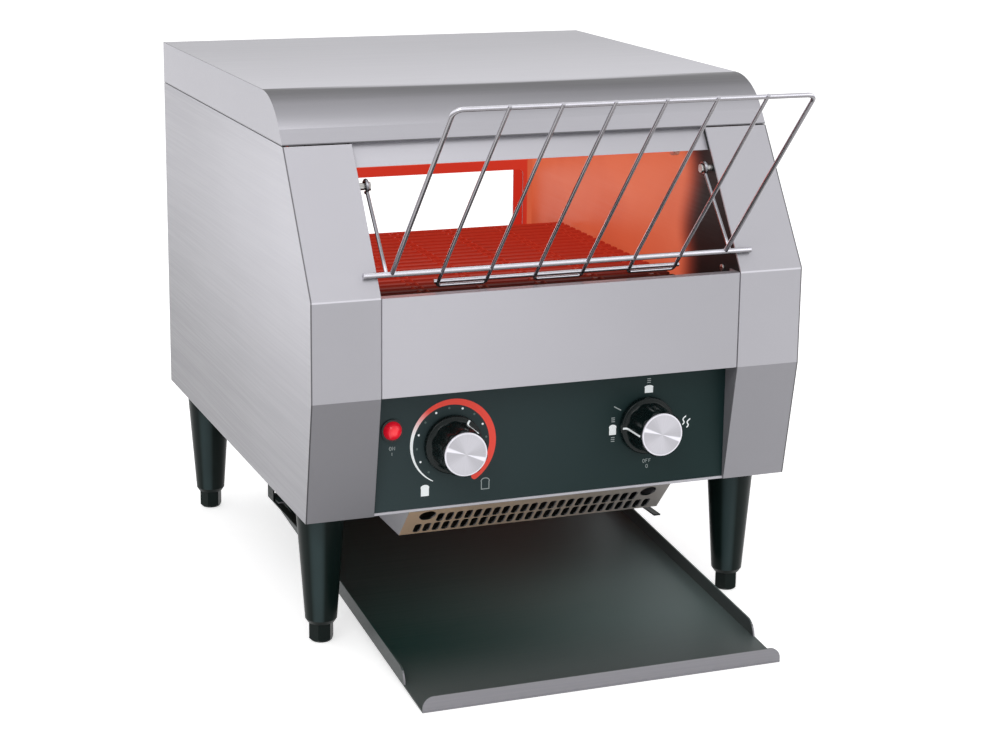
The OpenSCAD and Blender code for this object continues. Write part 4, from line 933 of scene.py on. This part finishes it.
def round_spot(x, z, radius, n):
    return [(x + radius * math.cos(t), z + radius * math.sin(t))
            for t in (TAU * k / n for k in range(n))]


def on_dial(degrees, radius):
    """The (x, z) point at a radius on the speed dial, in degrees clockwise from the top."""
    t = math.radians(degrees)
    return SPEED.x + radius * math.sin(t), SPEED.z + radius * math.cos(t)


def dial_ring():
    """Ring that grows from a fine point at the lower left to a broad end at the lower right.

    Its round end is a little thinner than the ring, so that their faces don't coincide.
    """
    edges = []
    for k in range(RING_STEPS + 1):
        share = k / RING_STEPS
        degrees = RING_START + (RING_END - RING_START) * share
        half = (RING_THIN + RING_BROAD * min(share / RING_BROAD_FROM, 1)) / 2
        middle = RING_R + RING_GROWTH * share
        edges.append((on_dial(degrees, middle + half), on_dial(degrees, middle - half)))
    ring = Shape()
    for (outer, inner), (next_outer, next_inner) in zip(edges, edges[1:]):
        ring.flat([outer, next_outer, next_inner, inner], PANEL_Y, INK)
    end = on_dial(RING_END, RING_R + RING_GROWTH)
    ring.flat(round_spot(*end, (RING_THIN + RING_BROAD) / 2, 24), PANEL_Y, INK * 0.9)
    print_piece(ring, "dial_ring", DIAL)


def dial_dots():
    bright, faint = Shape(), Shape()
    for k in range(DOTS):
        spot = round_spot(*on_dial(DOT_START + DOT_STEP * k, DOT_CIRCLE), DOT_R, 14)
        (bright if k % 2 else faint).flat(spot, PANEL_Y, INK)
    print_piece(bright, "dial_dots", WHITE)
    print_piece(faint, "dial_dots_faint", FAINT)


MITRE_LIMIT = 1.6


def stroke(shape, points, width, closed=False):
    """A flat pen stroke through (x, z) points, mitred at its corners."""
    points = [Vector(p) for p in points]
    n = len(points)
    sides = []
    for i, point in enumerate(points):
        before = points[(i - 1) % n] if closed or i else None
        after = points[(i + 1) % n] if closed or i < n - 1 else None
        normals = [(b - a).normalized().orthogonal() for a, b in ((before, point), (point, after))
                   if a is not None and b is not None]
        mitre = sum(normals, Vector((0, 0))).normalized()
        reach = min(1 / max(mitre.dot(normals[0]), 0.01), MITRE_LIMIT) * width / 2
        sides.append((point + mitre * reach, point - mitre * reach))
    for (a, b), (c, d) in zip(sides, sides[1:] + (sides[:1] if closed else [])):
        shape.flat([a, c, d, b], PANEL_Y, INK)


LETTERS = {
    "N": [[(0, 0), (0, 1), (0.62, 0), (0.62, 1)]],
    "F": [[(0, 0), (0, 1), (0.55, 1)], [(0, 0.52), (0.45, 0.52)]],
    "I": [[(0.3, 0), (0.3, 1)]],
    "O": [[(0.31 + 0.31 * math.sin(TAU * k / 12), 0.5 + 0.5 * math.cos(TAU * k / 12))
           for k in range(13)]],
}


def word(shape, letters, x, z, height):
    """Writes plain capitals about the point x, z."""
    pitch = LETTER_PITCH * height
    start = x - (len(letters) * pitch - LETTER_GAP * height) / 2
    for i, letter in enumerate(letters):
        for line in LETTERS[letter]:
            stroke(shape, [(start + i * pitch + px * height, z + (pz - 0.5) * height)
                           for px, pz in line], WORD_PEN)


def slice_outline(x, z, w, h):
    """Outline of a slice of bread: straight sides under a slightly broader domed top."""
    dome = [(x + w / 2 * math.cos(t), z + h * 0.24 + h * 0.26 * math.sin(t))
            for t in (math.pi * k / 14 for k in range(15))]
    half, shoulder, foot = w * 0.46, z + h * 0.14, z - h / 2
    return dome + [(x - half, shoulder), (x - half, foot), (x + half, foot), (x + half, shoulder)]


def element_mark(shape, x, z):
    """Small stack of three bars that stands for the heater elements in use."""
    half, pitch = 1.4, 1.4
    for dz in (-pitch, 0, pitch):
        stroke(shape, [(x - half, z + dz), (x + half, z + dz)], BAR_PEN)


def panel_print():
    """Words at the lamp and the selector, selector marks, and two slice marks under the dial."""
    marks, soft = Shape(), Shape()
    word(soft, "ON", LAMP.x, SPEED.z + 0.4, 2.5)
    word(soft, "I", LAMP.x, SPEED.z - 3.6, 2.2)
    sx, sz = SELECTOR.x, SELECTOR.z
    word(soft, "OFF", sx + 1.8, sz - 27.5, 2.5)
    word(soft, "O", sx + 1.9, sz - 31.6, 2.5)
    marks.flat(slice_outline(SPEED.x - 19.8, SPEED.z - 32.4, 6.4, 8.2), PANEL_Y, INK)
    plain_slice = slice_outline(SPEED.x + 25.2, SPEED.z - 31.8, 6.2, 8.0)
    stroke(soft, plain_slice, OUTLINE_PEN, closed=True)
    marks.flat(slice_outline(sx - 25.8, sz - 1.8, 5.8, 7.6), PANEL_Y, INK)
    element_mark(soft, sx - 25.6, sz + 5.6)
    element_mark(soft, sx - 25.6, sz - 9.0)
    marks.flat(slice_outline(sx + 2, sz + 26.2, 7.0, 5.6), PANEL_Y, INK)
    element_mark(soft, sx + 2, sz + 32.4)
    stroke(soft, [(sx - 25.1, sz + 15.4), (sx - 19.6, sz + 12.2)], TICK_PEN)
    for dx, dz in ((0, 0), (3.4, -2.4)):
        wave = [(sx + 29.6 + dx + 0.9 * math.sin(k * 0.9) + k * 0.25, sz - 3 + dz + k * 0.8)
                for k in range(9)]
        stroke(marks, wave, WAVE_PEN)
    print_piece(marks, "panel_marks", WHITE)
    print_piece(soft, "panel_marks_soft", GREY)


# ---- screws ----
HEAD_PROFILE = ((1.0, 0.0), (1.0, 0.45), (0.93, 0.75), (0.7, 0.95), (0.35, 1.0))
HEAD_SIDES = 28
SQUARE = ((-1, -1), (1, -1), (1, 1), (-1, 1))
RECESS_LONG, RECESS_WIDE = 0.5, 0.11
RECESS_LIFT, RECESS_THICK = 0.04, 0.3
CHAMBER_SCREW_BACK, CHAMBER_SCREW_DROP = 28.6, 2.1
CHAMBER_SCREW_R, CHAMBER_SCREW_HIGH, CHAMBER_SCREW_TURN = 2.6, 1.3, 0.7


def screw(shape, recess, base, direction, radius, height, turn):
    """A pan head on a face, with its cross recess shown by two bars of painted shade."""
    out = Vector(direction)
    across = out.orthogonal().normalized()
    other = out.cross(across)
    turns = [TAU * k / HEAD_SIDES for k in range(HEAD_SIDES)]
    shape.ring_skin([[base + out * height * lift
                      + radius * share * (math.cos(t) * across + math.sin(t) * other)
                      for t in turns] for share, lift in HEAD_PROFILE])
    for extra in (0, math.pi / 2):
        t = turn + extra
        along = math.cos(t) * across + math.sin(t) * other
        beside = out.cross(along)
        corners = [along * a * radius * RECESS_LONG + beside * b * radius * RECESS_WIDE
                   for a, b in SQUARE]
        top = base + out * (height + RECESS_LIFT)
        recess.ring_skin([[top - out * RECESS_THICK + c for c in corners],
                          [top + c for c in corners]])


def case_screws():
    """The casing's screws, one at each solid of the CAD node, and two in the chamber."""
    heads, recess = Shape(), Shape()
    for i, (middle, direction, radius, height) in enumerate(screw_places()):
        base = middle - Vector(direction) * height / 2
        screw(heads, recess, base, direction, radius, height, 0.4 + i * 1.3)
    steel = SLOT_MATERIALS["machine_steel"]
    heads.piece("screw_heads", steel, "machine_steel", replaces=("case_screws",))
    recess.piece("screw_recesses", RECESS_SHADE, "machine_steel", smooth=0)
    inner, inner_recess = Shape(), Shape()
    for side in (-1, 1):
        base = Vector((side * OPEN_X, CHAMBER_SCREW_BACK, NOSE_TOP - CHAMBER_SCREW_DROP))
        screw(inner, inner_recess, base, (-side, 0, 0), CHAMBER_SCREW_R, CHAMBER_SCREW_HIGH,
              CHAMBER_SCREW_TURN)
    inner.piece("chamber_screws", steel, "machine_steel")
    inner_recess.piece("chamber_screw_recesses", RECESS_SHADE, "machine_steel", smooth=0)


def screw_places():
    """Middle, direction, radius and height of each separate solid of the screws' CAD node."""
    mesh = bmesh.new()
    mesh.from_mesh(NODES["case_screws"].data)
    bmesh.ops.remove_doubles(mesh, verts=mesh.verts, dist=1e-6)
    seen, spots = set(), []
    for first in mesh.verts:
        if first in seen:
            continue
        group, todo = [], [first]
        seen.add(first)
        while todo:
            vertex = todo.pop()
            group.append(vertex.co)
            for edge in vertex.link_edges:
                other = edge.other_vert(vertex)
                if other not in seen:
                    seen.add(other)
                    todo.append(other)
        low = Vector([min(c[i] for c in group) for i in range(3)])
        high = Vector([max(c[i] for c in group) for i in range(3)])
        size = (high - low) / MM
        middle = Vector((low.x + high.x, low.y + high.y - 2 * NOSE_Y, low.z + high.z)) / 2 / MM
        if size.x < size.y:
            spots.append((middle, (-math.copysign(1, middle.x), 0, 0), size.z / 2, size.x))
        else:
            spots.append((middle, (0, 1, 0), size.z / 2, size.y))
    mesh.free()
    return spots


# ================================ CAD nodes ================================
BENT_SHEETS = ["left_side_panel", "right_side_panel", "top_cover", "front_cover", "header_strip",
               "toast_tray", "toast_chute", "tray_rails", "base_frame"]
EDGE_ROUND = 0.35
WELD_REACH = 0.01


def dress_nodes():
    """Gives each CAD node its material, and the bent sheets a fine rounded edge.

    The caps of the knobs have no entry, since pieces with their own material replace them.
    """
    slots = {part["node"]: part["material_slot"] for part in frame["record"]["subparts"]}
    for name, node in NODES.items():
        material = NODE_MATERIALS.get(name) or SLOT_MATERIALS.get(slots[name])
        if material is None:
            continue
        for slot in node.material_slots:
            slot.material = material
    for name in BENT_SHEETS:
        weld = NODES[name].modifiers.new("weld", "WELD")
        weld.merge_threshold = WELD_REACH * MM
        bevel = NODES[name].modifiers.new("edges", "BEVEL")
        bevel.width = EDGE_ROUND * MM
        bevel.segments = 2
        bevel.limit_method = "ANGLE"
        bevel.angle_limit = math.radians(30)


# ================================ stage, light, camera ================================
FLOOR_HALF, FLOOR_DROP = 6.0, 0.0002
WORLD_DIFFUSE = 0.72
# Name, place, point aimed at and size in metres, and power in watts.
LAMPS = (("key", (-1.3, -1.7, 2.2), (0, 0, 0.2), 1.6, 17),
         ("fill", (1.9, -1.5, 1.2), (0, 0, 0.2), 1.8, 6),
         ("top", (0.2, 0.9, 2.4), (0, 0, 0.3), 1.8, 8))


def make_stage():
    mesh = bpy.data.meshes.new("floor")
    corners = [(a * FLOOR_HALF, b * FLOOR_HALF, -FLOOR_DROP) for a, b in SQUARE]
    mesh.from_pydata(corners, [], [(0, 1, 2, 3)])
    mesh.materials.append(floor_white())
    floor = bpy.data.objects.new("floor", mesh)
    bpy.context.scene.collection.objects.link(floor)


def area_lamp(name, place, aim, size, power):
    data = bpy.data.lights.new(name, "AREA")
    data.shape = "DISK"
    data.size = size
    data.energy = power
    lamp = bpy.data.objects.new(name, data)
    lamp.location = place
    lamp.rotation_euler = (Vector(aim) - Vector(place)).to_track_quat("-Z", "Y").to_euler()
    bpy.context.scene.collection.objects.link(lamp)


def make_light():
    """Three soft lamps, and a white world that lights a little less than it shows."""
    for lamp in LAMPS:
        area_lamp(*lamp)
    world = bpy.data.worlds.new("studio")
    bpy.context.scene.world = world
    world.use_nodes = True
    tree = world.node_tree
    tree.nodes.clear()
    rays = tree.nodes.new("ShaderNodeLightPath")
    seen = rays.outputs["Is Camera Ray"]
    for name in ("Is Glossy Ray", "Is Transmission Ray"):
        larger = tree.nodes.new("ShaderNodeMath")
        larger.operation = "MAXIMUM"
        tree.links.new(seen, larger.inputs[0])
        tree.links.new(rays.outputs[name], larger.inputs[1])
        seen = larger.outputs[0]
    level = tree.nodes.new("ShaderNodeMapRange")
    level.inputs["To Min"].default_value = WORLD_DIFFUSE
    level.inputs["To Max"].default_value = 1.0
    tree.links.new(seen, level.inputs["Value"])
    background = tree.nodes.new("ShaderNodeBackground")
    background.inputs["Color"].default_value = (1, 1, 1, 1)
    tree.links.new(level.outputs["Result"], background.inputs["Strength"])
    output = tree.nodes.new("ShaderNodeOutputWorld")
    tree.links.new(background.outputs[0], output.inputs["Surface"])


# The camera's place in millimetres from the nose, its angles in degrees, and its focal length as
# a share of the sensor's width.
CAMERA_PLACE = (-586, -1370, 590)
CAMERA_AZIMUTH, CAMERA_ELEVATION, CAMERA_ROLL = -21.40, 13.55, 0.71
FOCAL_SHARE = 2.209
CAMERA_SHIFT = -0.05
SENSOR_WIDE = 36
CLIP_END = 50


def make_camera():
    data = bpy.data.cameras.new("camera")
    data.sensor_width = SENSOR_WIDE
    data.lens = FOCAL_SHARE * SENSOR_WIDE
    data.shift_y = CAMERA_SHIFT
    data.clip_end = CLIP_END
    camera = bpy.data.objects.new("camera", data)
    az, el, roll = (math.radians(a) for a in (CAMERA_AZIMUTH, CAMERA_ELEVATION, CAMERA_ROLL))
    back = Vector((math.sin(az) * math.cos(el), -math.cos(az) * math.cos(el), math.sin(el)))
    right = Vector((math.cos(az), math.sin(az), 0))
    up = back.cross(right)
    right, up = (math.cos(roll) * right + math.sin(roll) * up,
                 math.cos(roll) * up - math.sin(roll) * right)
    turn = Matrix((right, up, back)).transposed().to_4x4()
    camera.matrix_world = Matrix.Translation(at(*CAMERA_PLACE)) @ turn
    bpy.context.scene.collection.objects.link(camera)
    bpy.context.scene.camera = camera


make_camera()
make_light()
make_stage()
dress_nodes()
conveyor_belt()
knob(SPEED, "speed_grip", "speed_dial", "speed_knob", SPEED_CAP, SPEED_POINTER)
knob(SELECTOR, "selector_grip", "selector_dial", "selector_knob", SELECTOR_CAP, SELECTOR_POINTER)
dial_ring()
dial_dots()
panel_print()
case_screws()

bpy.context.scene.view_settings.view_transform = "Standard"
